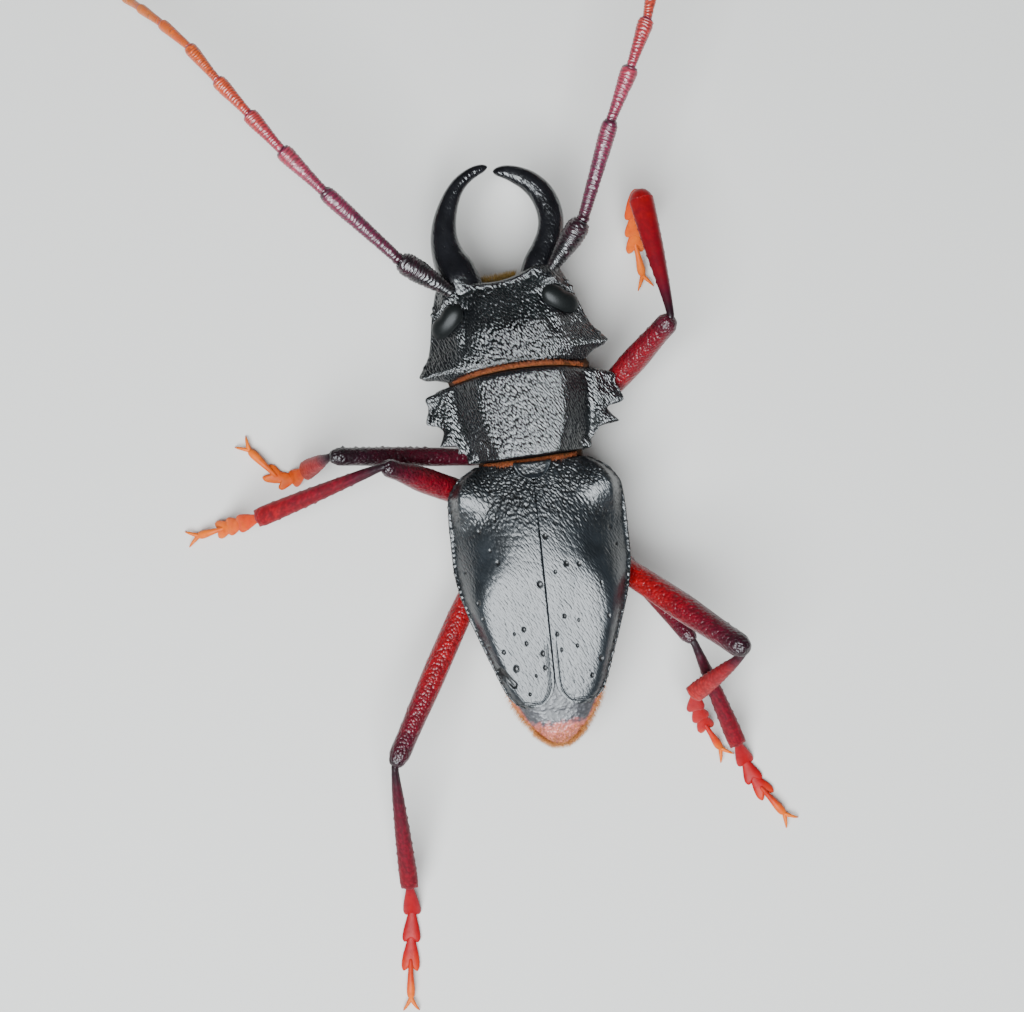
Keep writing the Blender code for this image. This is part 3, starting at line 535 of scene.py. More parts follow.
# Jaws
# Two long sickle mandibles that cross the space before the head as a ring, the right one opened
# a little wider. Each is a cylinder cut into rings that follow its curve, black and shining
# outside, with lengthwise grooves and pits on its upper face.
MANDIBLE_LINE = {
    "left": ((3.6, -8.2, 8.3), (4.2, -10.3, 8.2), (4.45, -11.6, 8.05), (4.85, -13.1, 7.9),
             (4.95, -15.1, 7.75), (4.5, -17.1, 7.65), (3.55, -19.1, 7.6), (2.4, -20.65, 7.6),
             (1.1, -21.6, 7.6), (-0.2, -22.1, 7.6), (-1.5, -22.3, 7.6)),
    "right": ((-3.8, -8.2, 8.3), (-4.9, -10.3, 8.2), (-5.9, -11.7, 8.05), (-6.85, -13.3, 7.9),
              (-7.35, -15.0, 7.75), (-7.3, -16.7, 7.65), (-6.8, -18.3, 7.6), (-5.75, -19.75, 7.6),
              (-4.35, -20.8, 7.6), (-3.2, -21.35, 7.6), (-2.0, -21.6, 7.6)),
}
MANDIBLE_RADIUS = {
    "left": (2.3, 2.4, 2.3, 1.92, 1.6, 1.36, 1.08, 0.86, 0.72, 0.6, 0.34),
    "right": (1.7, 1.72, 1.58, 1.5, 1.5, 1.48, 1.4, 1.24, 1.0, 0.74, 0.36),
}
MANDIBLE_HEIGHT = ((0.0, 0.88), (0.3, 0.9), (0.6, 0.95), (1.0, 1.0))
UP = np.array((0.0, 0.0, 1.0))


def unit(vectors):
    """Vectors made one long."""
    return vectors / np.linalg.norm(vectors, axis=-1, keepdims=True)


def read_table(place, table):
    """A value read along a list of (place, value)."""
    return np.interp(place, *zip(*table))


def lengths_along(line):
    """The length of a line up to each of its points."""
    return np.concatenate([[0.0], np.cumsum(np.linalg.norm(np.diff(line, axis=0), axis=1))])


def smooth_line(points, shares):
    """Places at the given shares of the length of a smooth curve through the points."""
    line = np.array(points, float)
    line = np.vstack([2 * line[0] - line[1], line, 2 * line[-1] - line[-2]])
    steps = np.linspace(0.0, 1.0, 24, endpoint=False)[:, None]
    fine = []
    for a, b, c, d in zip(line, line[1:], line[2:], line[3:]):
        fine.append(0.5 * (2 * b + (c - a) * steps + (2 * a - 5 * b + 4 * c - d) * steps ** 2
                           + (3 * b - a - 3 * c + d) * steps ** 3))
    fine = np.vstack(fine + [line[-2:-1]])
    lengths = lengths_along(fine)
    wanted = np.asarray(shares) * lengths[-1]
    return np.column_stack([np.interp(wanted, lengths, fine[:, k]) for k in range(3)])


def limb_rings(points, shares, radii, sides, flats=1.0, squareness=0.0):
    """Rings of a limb along a smooth line; flats is each section's height over its width."""
    centres = smooth_line(points, shares)
    along = unit(np.gradient(centres, axis=0))
    across = unit(np.cross(along, UP))
    upward = np.cross(across, along)
    angle = np.linspace(0.0, 2 * math.pi, sides, endpoint=False)
    swell = 1.0 + squareness * np.cos(4 * angle - math.pi)
    radii = np.asarray(radii)[:, None, None]
    flats = np.broadcast_to(flats, len(shares))[:, None, None]
    return (centres[:, None] + across[:, None] * radii * (np.cos(angle) * swell)[None, :, None]
            + upward[:, None] * radii * flats * (np.sin(angle) * swell)[None, :, None])


def round_ends(shares, radii, start=0.0, end=0.0):
    """Shares and radii with a rounded start and end added; each size is a share of the length."""
    shares, radii = list(shares), list(radii)
    if start:
        shares = [0.0, start * 0.15, start * 0.5, start] + shares[1:]
        first = radii[0]
        radii = [first * 0.3, first * 0.65, first * 0.9, first] + radii[1:]
    if end:
        shares = shares[:-1] + [1.0 - end, 1.0 - end * 0.5, 1.0 - end * 0.15, 1.0]
        last = radii[-1]
        radii = radii[:-1] + [last, last * 0.9, last * 0.65, last * 0.3]
    return np.array(shares), np.array(radii)


def closed_limb(name, rings, levels=2):
    """A closed piece through rings of points: a cylinder is added and cut into as many rings,
    each point is set in its place, and the cage is smoothed."""
    count, sides = rings.shape[:2]
    bpy.ops.mesh.primitive_cylinder_add(vertices=sides, radius=1.0, depth=2.0)
    piece = bpy.context.object
    piece.name = piece.data.name = name
    bpy.ops.object.mode_set(mode="EDIT")
    bpy.ops.mesh.select_all(action="DESELECT")
    bpy.ops.object.mode_set(mode="OBJECT")
    bpy.context.tool_settings.mesh_select_mode = (False, True, False)
    for edge in piece.data.edges:
        ends = [piece.data.vertices[v].co.z for v in edge.vertices]
        edge.select = abs(ends[0] - ends[1]) > 1.0
    bpy.ops.object.mode_set(mode="EDIT")
    bpy.ops.mesh.subdivide(number_cuts=count - 2)
    bpy.ops.object.mode_set(mode="OBJECT")
    place = read_rows(piece.data.vertices)
    ring = np.rint((place[:, 2] + 1.0) / 2.0 * (count - 1)).astype(int)
    turn = np.rint(np.arctan2(place[:, 0], place[:, 1]) / (2 * math.pi) * sides).astype(int) % sides
    set_points(piece, rings[ring, turn])
    face_outward(piece)
    soften(piece, levels)
    return piece


shining_black = black_shell("shining_black", (0.003, 0.003, 0.004), 0.34, 0.18, 0.6, 3000.0, 0.00002,
                            0.2, 0.03)
PIT_SPACING = 0.6


def jaw_relief(place, normal):
    """A smooth face with scattered fine pits, painted dark as shade by the finish, and faint lengthwise
    grooves.
    """
    distance = noise.voronoi(place / PIT_SPACING)[0][0]
    pit = max(0.0, 1.0 - distance / 0.2)
    groove = noise.noise(Vector((place.x / 0.4, place.y / 2.2, place.z / 0.4)))
    return 0.75 - 0.75 * pit + 0.25 * groove * max(0.0, normal[2])


shares = np.linspace(0.0, 1.0, 40)
flats = read_table(shares, MANDIBLE_HEIGHT)
for side, line in MANDIBLE_LINE.items():
    line = on_head(line)
    lengths = lengths_along(line)
    radii = np.interp(shares, lengths / lengths[-1], MANDIBLE_RADIUS[side])
    radii[-1] = 0.12
    jaw = closed_limb("jaw_" + side, limb_rings(line, shares, radii, 22, flats, 0.03))
    roughen(jaw, jaw_relief, 0.1)
    dress(jaw, shining_black, "black_chitin", "mandible_" + side)


# Upper lip and mouth feelers
# A small lip under a patch of yellowish hair shows in the notch between the jaws, and two pairs
# of short jointed palps hang under the mouth, each one limb of club-shaped joints.
LIP_ROWS = ((-8.9, 2.1, 6.6, 7.9), (-9.3, 2.0, 6.6, 7.85), (-9.65, 1.7, 6.65, 7.6), (-9.95, 1.1, 6.8, 7.3))
share = edge_spread(9)
lip_top, lip_low = [], []
for y, half_lip, low, high in LIP_ROWS:
    lip_top.append([(half_lip * s, y + 0.25 * s * s, high) for s in share])
    lip_low.append([(half_lip * s, y + 0.25 * s * s, low) for s in share])
lip = plate("upper_lip", on_head(lip_top), on_head(lip_low),
            fine_top=False)
roughen(lip, close_grains, 0.08)
dress(lip, granulate_black, "black_chitin", "labrum")

HAIR_PATCH = 0.003
LIP_HAIRS = 700


def hairs(name, roots, ways, lengths, width, seed):
    """One coat of short bent hairs. Every hair's UV is a small patch at its root's place on the
    skin, which is unwrapped from above, and from below beside that."""
    draw = np.random.default_rng(seed)
    roots, ways = np.asarray(roots, float), unit(np.asarray(ways, float))
    ways = unit(ways + draw.normal(0.0, 0.16, ways.shape))
    low, high = roots.min(axis=0), roots.max(axis=0)
    bpy.ops.mesh.primitive_cone_add(vertices=3, radius1=1.0, radius2=0.0, depth=1.0)
    seed_hair = bpy.context.object
    bpy.ops.object.mode_set(mode="EDIT")
    bpy.ops.mesh.select_all(action="SELECT")
    bpy.ops.mesh.bisect(plane_co=(0.0, 0.0, 0.05), plane_no=(0.0, 0.0, 1.0))
    bpy.ops.mesh.select_all(action="SELECT")
    bpy.ops.mesh.quads_convert_to_tris()
    bpy.ops.object.mode_set(mode="OBJECT")
    shape = read_rows(seed_hair.data.vertices)
    faces = np.array([tuple(p.vertices) for p in seed_hair.data.polygons])
    bpy.data.objects.remove(seed_hair, do_unlink=True)
    count, size = len(roots), len(shape)
    rise = shape[:, 2] + 0.5
    side = unit(np.cross(ways, UP) + 1e-6)
    across = np.cross(side, ways)
    lengths = np.asarray(lengths) * draw.uniform(0.75, 1.2, count)
    droop = draw.uniform(0.05, 0.3, count) * lengths
    points = (roots[:, None] + side[:, None] * (shape[:, 0] * width)[None, :, None]
              + across[:, None] * (shape[:, 1] * width)[None, :, None]
              + ways[:, None] * rise[None, :, None] * lengths[:, None, None])
    points[:, :, 2] -= droop[:, None] * rise[None, :] ** 2
    mesh = bpy.data.meshes.new(name)
    every = (faces[None] + (np.arange(count) * size)[:, None, None]).reshape(-1, 3)
    mesh.from_pydata((points * MM + HOME).reshape(-1, 3).tolist(), [], every.tolist())
    coat = bpy.data.objects.new(name, mesh)
    bpy.context.scene.collection.objects.link(coat)
    span = np.maximum(high - low, 0.01)
    home = (roots[:, :2] - low[:2]) / span[:2] * (0.44, 0.96) + (0.02, 0.02)
    home[:, 0] += np.where(ways[:, 2] < -0.2, 0.5, 0.0)
    corner = home[:, None] + (shape[:, :2] * 0.5 * HAIR_PATCH)[None]
    unwrap = mesh.uv_layers.new(name="OFBake")
    unwrap.data.foreach_set("uv", corner.reshape(-1, 2)[every.ravel()].astype(np.float32).ravel())
    face_outward(coat)
    bpy.ops.object.shade_smooth()
    return coat


def hair_finish(name, dark, light):
    """Fine glossy hair whose colour varies from tuft to tuft."""
    finish, shader, where = new_finish(name, {"IOR": 1.5, "Roughness": 0.45, "Specular IOR Level": 0.35})
    tint = colour_run(finish, speckle(finish, where, 6000.0), ((0.3, dark), (0.7, light)))
    feed(finish, shader, {"Base Color": tint})
    return finish


lip_hair = hair_finish("lip_hair", (0.10, 0.05, 0.008), (0.42, 0.26, 0.06))
draw = np.random.default_rng(5)
hair_x = draw.uniform(-2.0, 2.0, LIP_HAIRS)
hair_y = draw.uniform(-9.75, -9.0, LIP_HAIRS)
roots = on_head(np.column_stack([hair_x, hair_y, np.full(LIP_HAIRS, 7.75)]))
ways = np.column_stack([0.2 * hair_x, np.full(LIP_HAIRS, -1.0), draw.uniform(0.0, 0.7, LIP_HAIRS)])
lip_coat = hairs("lip_hairs", roots, ways, np.full(LIP_HAIRS, 0.75), 0.03, 6)
dress(lip_coat, lip_hair, "orange_chitin")

PALP_LINE = {
    "maxillary_left": ((3.6, -8.4, 5.2), (4.3, -10.0, 4.9), (4.9, -11.8, 4.7), (5.0, -13.2, 4.4)),
    "labial_left": ((1.3, -8.0, 5.1), (1.5, -8.9, 4.8), (1.8, -9.9, 4.5)),
    "maxillary_right": ((-3.6, -8.4, 5.2), (-4.6, -10.0, 4.9), (-5.6, -11.7, 4.7), (-6.2, -13.0, 4.4)),
    "labial_right": ((-1.3, -8.0, 5.1), (-1.5, -8.9, 4.8), (-1.8, -9.9, 4.5)),
}

# colours of the limbs, from the dark ends of the joints to the feet
RIPENING = ((0.0, (0.004, 0.003, 0.004)), (0.2, (0.020, 0.003, 0.008)), (0.4, (0.075, 0.003, 0.012)),
            (0.55, (0.16, 0.003, 0.010)), (0.7, (0.32, 0.004, 0.005)), (0.85, (0.46, 0.034, 0.003)),
            (1.0, (0.60, 0.13, 0.006)))
KNOB_PITCH = 0.36


def red_shell(name, valley_rough, top_rough, grain_scale, grain_depth, stops=RIPENING, shine=0.3, coat=0.1,
              knob_depth=0.0):
    """Red chitin whose colour runs from purple black through crimson to orange along the limb:
    the piece's own attribute ripe says where on that run it is."""
    finish, shader, where = new_finish(name, {"IOR": 1.5, "Specular IOR Level": shine, "Coat Weight": coat,
                                              "Coat Roughness": 0.2})
    vary = spread(finish, speckle(finish, where, 900.0, 6.0), -0.03, 0.03, 0.3, 0.7)
    tint = colour_run(finish, combined(finish, "ADD", attribute(finish, "ripe"), vary), stops)
    coarse = wrinkle(finish, where, grain_scale, grain_depth, 0.6)
    fine = wrinkle(finish, where, grain_scale * 3.0, grain_depth * 0.4, 0.4, below=coarse)
    if knob_depth:
        fine = slanting_grain(finish, where, KNOB_PITCH, knob_depth, fine, ROUND_GRAIN)
    feed(finish, shader, {
        # painted shade and light: the colour falls to 0.45 in the valleys of the relief and rises to 1.1 on
        # its tops
        "Base Color": painted_relief_shade(finish, tint, 0.45, 1.1),
        "Roughness": lift_by(finish, valley_rough, top_rough),
        "Normal": fine,
    })
    return finish


def ripen(piece, start, end, colours):
    """Write how red each point is, from a list of (share of the way from start to end, value)."""
    start, end = np.array(start, float), np.array(end, float)
    run = end - start
    share = (read_points(piece) - start) @ run / (run @ run)
    write_values(piece, "ripe", read_table(share, colours))


def smooth_relief(place, normal):
    """A high, nearly even face with soft swells."""
    return 0.8 + 0.3 * noise.noise(place / 0.5)


red_chitin = red_shell("red_chitin", 0.42, 0.24, 5000.0, 0.00002, shine=0.45, knob_depth=0.11)
smooth_red = red_shell("smooth_red", 0.4, 0.28, 5000.0, 0.00001, shine=0.4)
shin_red = red_shell("shin_red", 0.6, 0.4, 5000.0, 0.00003, shine=0.2, coat=0.12)
foot_orange = red_shell("foot_orange", 0.65, 0.42, 9000.0, 0.00003, shine=0.17, coat=0.0)
for name, line in PALP_LINE.items():
    shares, radii = [0.0], [0.3]
    for joint in range(3):
        shares += [(joint + 0.08) / 3, (joint + 0.55) / 3, (joint + 0.9) / 3, (joint + 0.99) / 3]
        radii += [0.3, 0.45, 0.55, 0.36]
    shares.append(1.01)
    radii.append(0.15)
    line = on_head(line)
    palp = closed_limb("palp_" + name, limb_rings(line, shares, radii, 10))
    roughen(palp, smooth_relief, 0.03)
    ripen(palp, line[0], line[-1], ((0.0, 0.1), (0.7, 0.25), (1.0, 0.6)))
    dress(palp, red_chitin, "purple_chitin", "palp_" + name)


# Feelers
# Each has eleven joints: a stout wrinkled first joint, a small ring, then long joints that widen
# to a dark collar at their tips. They run from black through wine red to orange at the ends.
FEELER_ROUTE = {
    "left": ((7.75, -21.2, 10.75), (12.3, -24.65, 12.0), (19.6, -32.6, 15.0), (23.6, -37.4, 16.0),
             (26.75, -41.7, 16.0), (29.85, -45.9, 15.0), (32.8, -50.3, 13.2), (35.9, -53.8, 10.8),
             (38.6, -56.6, 7.9), (40.6, -58.6, 5.2), (42.3, -60.2, 2.4)),
    "right": ((-5.15, -22.75, 10.75), (-8.5, -26.85, 12.0), (-12.6, -37.0, 15.0),
              (-15.3, -42.4, 16.0), (-17.6, -47.4, 16.0), (-19.0, -52.2, 15.5),
              (-19.6, -57.2, 14.4), (-19.4, -61.6, 13.0), (-18.6, -65.6, 11.3),
              (-17.2, -69.0, 9.4), (-15.2, -72.4, 7.3)),
}
FEELER_BASE_R = (0.64, 0.56, 0.52, 0.5, 0.45, 0.42, 0.4, 0.38, 0.35)
FEELER_APEX_R = (0.95, 0.98, 0.9, 0.84, 0.75, 0.65, 0.58, 0.52, 0.3)
FEELER_RUN = (0.0, 0.02, 0.06, 0.2, 0.4, 0.55, 0.68, 0.8, 0.88, 0.94, 0.975, 1.0)
FEELER_COLOURS = ((0.0, (0.004, 0.003, 0.004)), (0.2, (0.10, 0.012, 0.035)), (0.4, (0.27, 0.030, 0.060)),
                  (0.55, (0.34, 0.026, 0.036)), (0.7, (0.46, 0.045, 0.022)), (0.85, (0.56, 0.085, 0.012)),
                  (1.0, (0.64, 0.18, 0.014)))
WRINKLE_PITCH = 0.4
WRINKLE_STEP = 0.1
FEELER_RIPE = ((0.12, 0.26), (0.3, 0.44), (0.46, 0.6), (0.66, 0.76), (0.78, 0.84), (0.84, 0.88),
               (0.88, 0.92), (0.9, 0.95), (0.94, 1.0))
FEELER_GROUPS = (("base", 0, 2, "purple_chitin"), ("middle", 2, 5, "red_chitin"),
                 ("tip", 5, 9, "orange_chitin"))
SCAPE_SHARE = (0.0, 0.2, 0.6, 0.85, 1.0)
SCAPE_R = (0.62, 0.85, 1.3, 1.32, 0.9)


def ringed(start, end, pitch):
    """Relief of fine wrinkles that run round a joint, from 0 to 1."""
    start, end = Vector(start), Vector(end)
    axis = (end - start).normalized()

    def relief(place, normal):
        run = (place - start).dot(axis)
        wander = noise.noise(place / 0.5)
        skew = 0.35 * noise.noise(place / 1.7)
        return 0.5 + 0.4 * math.sin(2 * math.pi * (run + skew) / pitch + 4.5 * wander) + 0.2 * wander
    return relief


def join_pieces(pieces, name):
    """Join pieces into one."""
    choose(*pieces)
    if len(pieces) > 1:
        bpy.ops.object.join()
    pieces[0].name = pieces[0].data.name = name
    return pieces[0]


wrinkled_joint = red_shell("wrinkled_joint", 0.42, 0.24, 4000.0, 0.00002, FEELER_COLOURS, shine=0.9)
for side, route in FEELER_ROUTE.items():
    route = np.array(route)
    shares = np.linspace(0.0, 1.0, 64)
    shares, radii = round_ends(shares, np.interp(shares, SCAPE_SHARE, SCAPE_R), end=0.04)
    scape = closed_limb("scape_" + side, limb_rings([route[0] - (route[1] - route[0]) * 0.2, route[1]],
                                                   shares, radii, 20), 1)
    roughen(scape, ringed(route[0], route[1], WRINKLE_PITCH), 0.12)
    ripen(scape, route[0], route[1], ((0.0, 0.0), (0.8, 0.03), (1.0, 0.02)))
    dress(scape, wrinkled_joint, "black_chitin", "antenna_" + side + "_scape")
    step = unit(route[2] - route[1])
    ends = np.vstack([[route[1] + step * 0.35], route[2:]])
    for group, first, last, slot in FEELER_GROUPS:
        joints = []
        if group == "base":
            collar = closed_limb("ring_joint", limb_rings([route[1] - step * 0.25, route[1] + step * 0.55],
                                                          [0.0, 0.2, 0.5, 0.8, 1.0],
                                                          [0.5, 0.7, 0.78, 0.7, 0.5], 12))
            roughen(collar, smooth_relief, 0.03)
            ripen(collar, route[1], route[2], ((0.0, 0.05), (1.0, 0.05)))
            joints.append(collar)
        for k in range(first, last):
            a, b = ends[k], ends[k + 1]
            length = np.linalg.norm(b - a)
            base, apex = FEELER_BASE_R[k], FEELER_APEX_R[k]
            waist = base * 1.12
            wide = [base * 0.6, base * 0.9, base * 1.04, waist, waist + (apex - waist) * 0.27,
                    waist + (apex - waist) * 0.55, waist + (apex - waist) * 0.8, apex, apex * 1.02,
                    apex * 0.98, apex * 0.86, apex * 0.6]
            if k == last - 1 and group == "tip":
                wide[-4:] = [apex * 0.95, apex * 0.8, apex * 0.6, apex * 0.3]
            fine = np.concatenate([FEELER_RUN, np.linspace(0.0, 1.0, int(length / WRINKLE_STEP))])
            fine = np.unique(fine)
            wide = np.interp(fine, FEELER_RUN, wide)
            rings = limb_rings([a - (b - a) / length * 0.3, b], fine, wide, 14, 0.92)
            joint = closed_limb("joint", rings, 1)
            roughen(joint, ringed(a, b, WRINKLE_PITCH * (1.0 - 0.05 * k)), 0.095 - 0.008 * k)
            low, high = FEELER_RIPE[k]
            ripen(joint, a, b, ((0.0, low - 0.08), (0.06, low), (0.8, high), (0.93, high),
                                (0.975, high * 0.45), (1.0, high * 0.4)))
            joints.append(joint)
        feeler = join_pieces(joints, "feeler_" + group + "_" + side)
        dress(feeler, wrinkled_joint, slot, "antenna_" + side + "_" + group)


# Collar shield
# The prothorax is a broad plate with a raised, satin disc between two dark troughs, and toothed
# side lobes that flare out over the fore legs. It is shaped in rows like the head.
PRO_PIVOT = (0.05, -1.5)
PRO_YAW = 1.9
PRO_MARGIN_Z = 9.4
PRO_DISC = 2.9
PRO_KEEL = 2.7
PRO_PLACE = (-8.6, -7.9, -6.4, -5.3, -4.5, -3.9, -2.8, -1.3, -0.4, 0.1)
PRO_HALF = (9.2, 10.5, 10.7, 10.6, 9.7, 9.0, 8.7, 7.4, 6.6, 6.3)
DISC_PLACE = (-8.8, -6.0, -3.0, -0.9, 0.2)
DISC_HALF = (4.5, 4.7, 4.2, 3.3, 3.0)
DISC_SLOPE = 3.6
PRO_FRONT_BEND = -1.15
PRO_REAR_BEND = 0.25
PRO_THORNS = {
    "left": (((10.5, -5.5), (11.5, -4.75), 1.1), ((8.7, -3.1), (9.9, -2.3), 1.15),
             ((6.3, -0.7), (7.1, 0.15), 0.8), ((10.3, -7.6), (11.2, -8.1), 0.9),
             ((10.7, -6.9), (11.05, -6.85), 0.4), ((10.7, -6.2), (11.1, -6.1), 0.4),
             ((7.6, -1.5), (8.1, -1.2), 0.4)),
    "right": (((10.3, -5.5), (11.7, -4.5), 1.35), ((8.8, -3.1), (10.6, -2.45), 1.15),
              ((6.3, -0.7), (7.0, 0.2), 0.8), ((10.3, -7.5), (10.9, -7.9), 0.8),
              ((10.7, -6.8), (11.1, -6.75), 0.4), ((10.7, -6.1), (11.2, -6.0), 0.4)),
}


def on_shield(points):
    """Places in the shield's own frame, on the beetle's axes."""
    return turned(points, PRO_PIVOT, PRO_YAW)


def pro_top(x, y):
    """Height of the shield: a raised disc that narrows backward, steep troughs beside it, and
    nearly level side lobes."""
    wide = np.abs(x)
    disc_edge = np.interp(y, DISC_PLACE, DISC_HALF)
    height = PRO_MARGIN_Z + 0.4 + PRO_DISC * ease((disc_edge + DISC_SLOPE - wide) / DISC_SLOPE)
    height -= 0.018 * np.minimum(wide, disc_edge) ** 2
    height -= 0.3 * np.exp(-((wide - disc_edge - 1.0) / 0.5) ** 2)
    height += np.where(x > 0.0, 0.5, 0.75) * ease((wide - 7.4) / 0.9)
    height -= np.where(x > 0.0, 0.36, 0.46) * np.clip(wide - 8.0, 0.0, 2.7)
    return height


along = PRO_PLACE[0] + (PRO_PLACE[-1] - PRO_PLACE[0]) * (0.5 + 0.5 * edge_spread(21))
half = np.interp(along, PRO_PLACE, PRO_HALF)
share = edge_spread(37)
bend = PRO_FRONT_BEND + (PRO_REAR_BEND - PRO_FRONT_BEND) * (along - along[0]) / (along[-1] - along[0])
pro_x = half[:, None] * share
pro_y = along[:, None] + bend[:, None] * (1.0 - share ** 2)
pro_z = pro_top(pro_x, along[:, None])
pro_z -= 0.4 * np.clip(1.0 - (along - along[0]) / 0.6, 0.0, 1.0)[:, None] ** 1.5
pro_z -= 0.35 * np.clip(1.0 - (along[-1] - along) / 0.2, 0.0, 1.0)[:, None] ** 1.5
pro_z -= 0.13 * ease((along - along[-1] + 0.85) / 0.8)[:, None] * ease((4.2 - np.abs(pro_x)) / 0.8)
pro_low = PRO_MARGIN_Z - 0.3 - PRO_KEEL * ease((7.4 - np.abs(pro_x)) / 3.2)
shield = plate("collar_shield", on_shield(np.dstack([pro_x, pro_y, pro_z])),
               on_shield(np.dstack([pro_x, pro_y, pro_low])))
points = read_points(shield)
for side, sign in SIDES.items():
    grow_thorns(points, PRO_THORNS[side], sign, (PRO_MARGIN_Z + 0.15, PRO_MARGIN_Z + 0.3), on_shield, 1.25)
set_points(shield, points)


def shield_relief(place, normal):
    """Dense fine grains on the disc, coarser ones on the side lobes, and a smooth bead behind."""
    fine = granule(place, 0.3, 2.2)
    coarse = granule(place + Vector((5.0, 0.0, 0.0)), 0.44, 1.5)
    outer = min(1.0, max(0.0, (abs(place.x) - 5.2) / 1.5))
    relief = 0.1 + 0.22 * fine + 0.42 * outer * coarse ** 2
    behind = rotated(place.x - PRO_PIVOT[0], place.y - PRO_PIVOT[1], -PRO_YAW)[1]
    bead = float(ease((behind - PRO_PLACE[-1] + 0.75) / 0.2)) * max(0.0, 1.0 - abs(place.x) / 3.4) ** 0.4
    return relief + (0.8 - relief) * bead


roughen(shield, shield_relief, 0.11, upward_only=True)
shield_black = black_shell("shield_black", (0.003, 0.004, 0.005), 0.3, 0.2, 0.8, 7000.0, 0.00001, 0.175,
                           0.1)
dress(shield, shield_black, "black_chitin", "prothorax")

# The joints before and behind the shield: dark brown skin that folds between the plates, and on
# it a dense band of short orange hairs. Each hair is a bent three-sided spike.
BAND_HAIRS = 1300
BAND_R = 0.23
BANDS = {
    "neck": dict(reach=7.35, y=PRO_PLACE[0] - 0.2, bend=PRO_FRONT_BEND, half=PRO_HALF[0], way=-1.0,
                 sink=0.5, skin_reach=8.0, skin_r=0.98, skin_z=8.65, seed=7),
    "waist": dict(reach=5.2, y=PRO_PLACE[-1] + 0.22, bend=PRO_REAR_BEND, half=PRO_HALF[-1], way=1.0,
                  sink=0.5, skin_reach=5.9, skin_r=1.15, skin_z=8.6, seed=8),
}
SKIN_COLOURS = ((0.0, (0.010, 0.006, 0.004)), (0.5, (0.03, 0.012, 0.005)), (1.0, (0.09, 0.032, 0.010)))
fold_skin = red_shell("fold_skin", 0.8, 0.6, 2600.0, 0.00006, SKIN_COLOURS, 0.15, 0.0)
band_orange = hair_finish("band_orange", (0.10, 0.02, 0.007), (0.40, 0.105, 0.03))


def band_line(band, x, z):
    """Places along a band across the beetle."""
    y = band["y"] + band["bend"] * (1.0 - (x / band["half"]) ** 2)
    return on_shield(np.column_stack([x, y, np.broadcast_to(z, x.shape)]))


def creased(size):
    """Relief of soft folds of that size."""
    return lambda place, normal: 0.5 + 0.6 * noise.noise(place / size)


def skin_fold(name, rings, crease, depth, redness, slot):
    """A fold of the skin between the plates, all of one redness."""
    piece = closed_limb(name, rings)
    roughen(piece, creased(crease), depth)
    ripen(piece, (-30.0, 0.0, 0.0), (30.0, 0.0, 0.0), ((0.0, redness), (1.0, redness)))
    dress(piece, fold_skin, slot)


for place, band in BANDS.items():
    skin_x = np.linspace(-band["skin_reach"], band["skin_reach"], 15)
    shares, radii = round_ends(np.linspace(0.0, 1.0, 20), np.full(20, band["skin_r"]), start=0.06, end=0.06)
    rings = limb_rings(band_line(band, skin_x, band["skin_z"]), shares, radii, 14, 0.9)
    skin_fold(place + "_skin", rings, 0.35, 0.12, 0.5, "black_chitin")
    ridge_x = np.linspace(-band["reach"], band["reach"], 21) * 0.97
    ridge_z = pro_top(ridge_x, band["y"]) - band["sink"]
    shares = np.linspace(0.0, 1.0, 30)
    radii = BAND_R * (1.0 - 0.6 * np.abs(2.0 * shares - 1.0) ** 6)
    shares, radii = round_ends(shares, radii, start=0.05, end=0.05)
    rings = limb_rings(band_line(band, ridge_x, ridge_z), shares, radii, 12, 0.8)
    # the ridge under the hairs is dark brown skin, kept darker than the hairs also as painted shade between
    # them
    skin_fold(place + "_band", rings, 0.2, 0.06, 0.95, "orange_chitin")
    draw = np.random.default_rng(band["seed"])
    hair_x = draw.uniform(-band["reach"], band["reach"], BAND_HAIRS)
    around = draw.uniform(-0.9, 0.9, BAND_HAIRS)
    hair_z = pro_top(hair_x, band["y"]) - band["sink"] + 0.18 * np.cos(around * 1.2)
    roots = band_line(band, hair_x, hair_z)
    roots[:, 1] += 0.22 * np.sin(around)
    ways = np.column_stack([draw.normal(0.6, 0.5, BAND_HAIRS), np.full(BAND_HAIRS, band["way"]),
                            draw.normal(0.45, 0.15, BAND_HAIRS) - 0.2 * np.sin(around) * band["way"]])
    fringe = hairs(place + "_fringe", roots, ways, draw.uniform(0.22, 0.62, BAND_HAIRS), 0.034, 11)
    dress(fringe, band_orange, "orange_chitin")


# Scutellum
# A small smooth half disc between the bases of the wing cases, with a fine raised edge. It lies
# on the wing cases' own form, so that form is given here too.
ELYTRA_PLACE = (-0.8, 0.4, 2.3, 5.0, 10.7, 13.5, 16.0, 18.3, 20.5, 22.5, 24.3, 25.3, 26.0, 26.55)
ELYTRA_HALF = (6.4, 8.5, 9.8, 10.0, 10.0, 9.5, 8.8, 8.0, 7.2, 6.45, 5.8, 5.25, 4.6, 3.6)
ELYTRA_DOME = ((-0.8, 2.2), (2.0, 3.35), (5.0, 4.05), (8.0, 4.4), (12.0, 4.3), (18.0, 3.4), (23.0, 2.6),
               (26.55, 1.9))
ELYTRA_MARGIN_Z = 10.2
ELYTRA_THICK = 0.9
ELYTRA_FLATNESS = ((0.0, 2.4), (6.0, 2.4), (9.0, 2.8), (12.0, 5.0), (15.0, 11.0), (18.0, 15.0),
                   (22.0, 14.0), (26.55, 7.0))
SHOULDER = (7.2, 2.75, 3.3)
SHOULDER_TURN = -18.0
SHELF_START = 0.955
REAR_LIFT = 1.1
SCUTELLUM_HALF = 2.15
SCUTELLUM_FRONT = -0.9
SCUTELLUM_LENGTH = 2.05


def flowing(y, table, reach):
    """A value read along a list of (place, value), with the corners of its line rounded off."""
    return sum(read_table(y + step, table) for step in np.linspace(-reach, reach, 13)) / 13


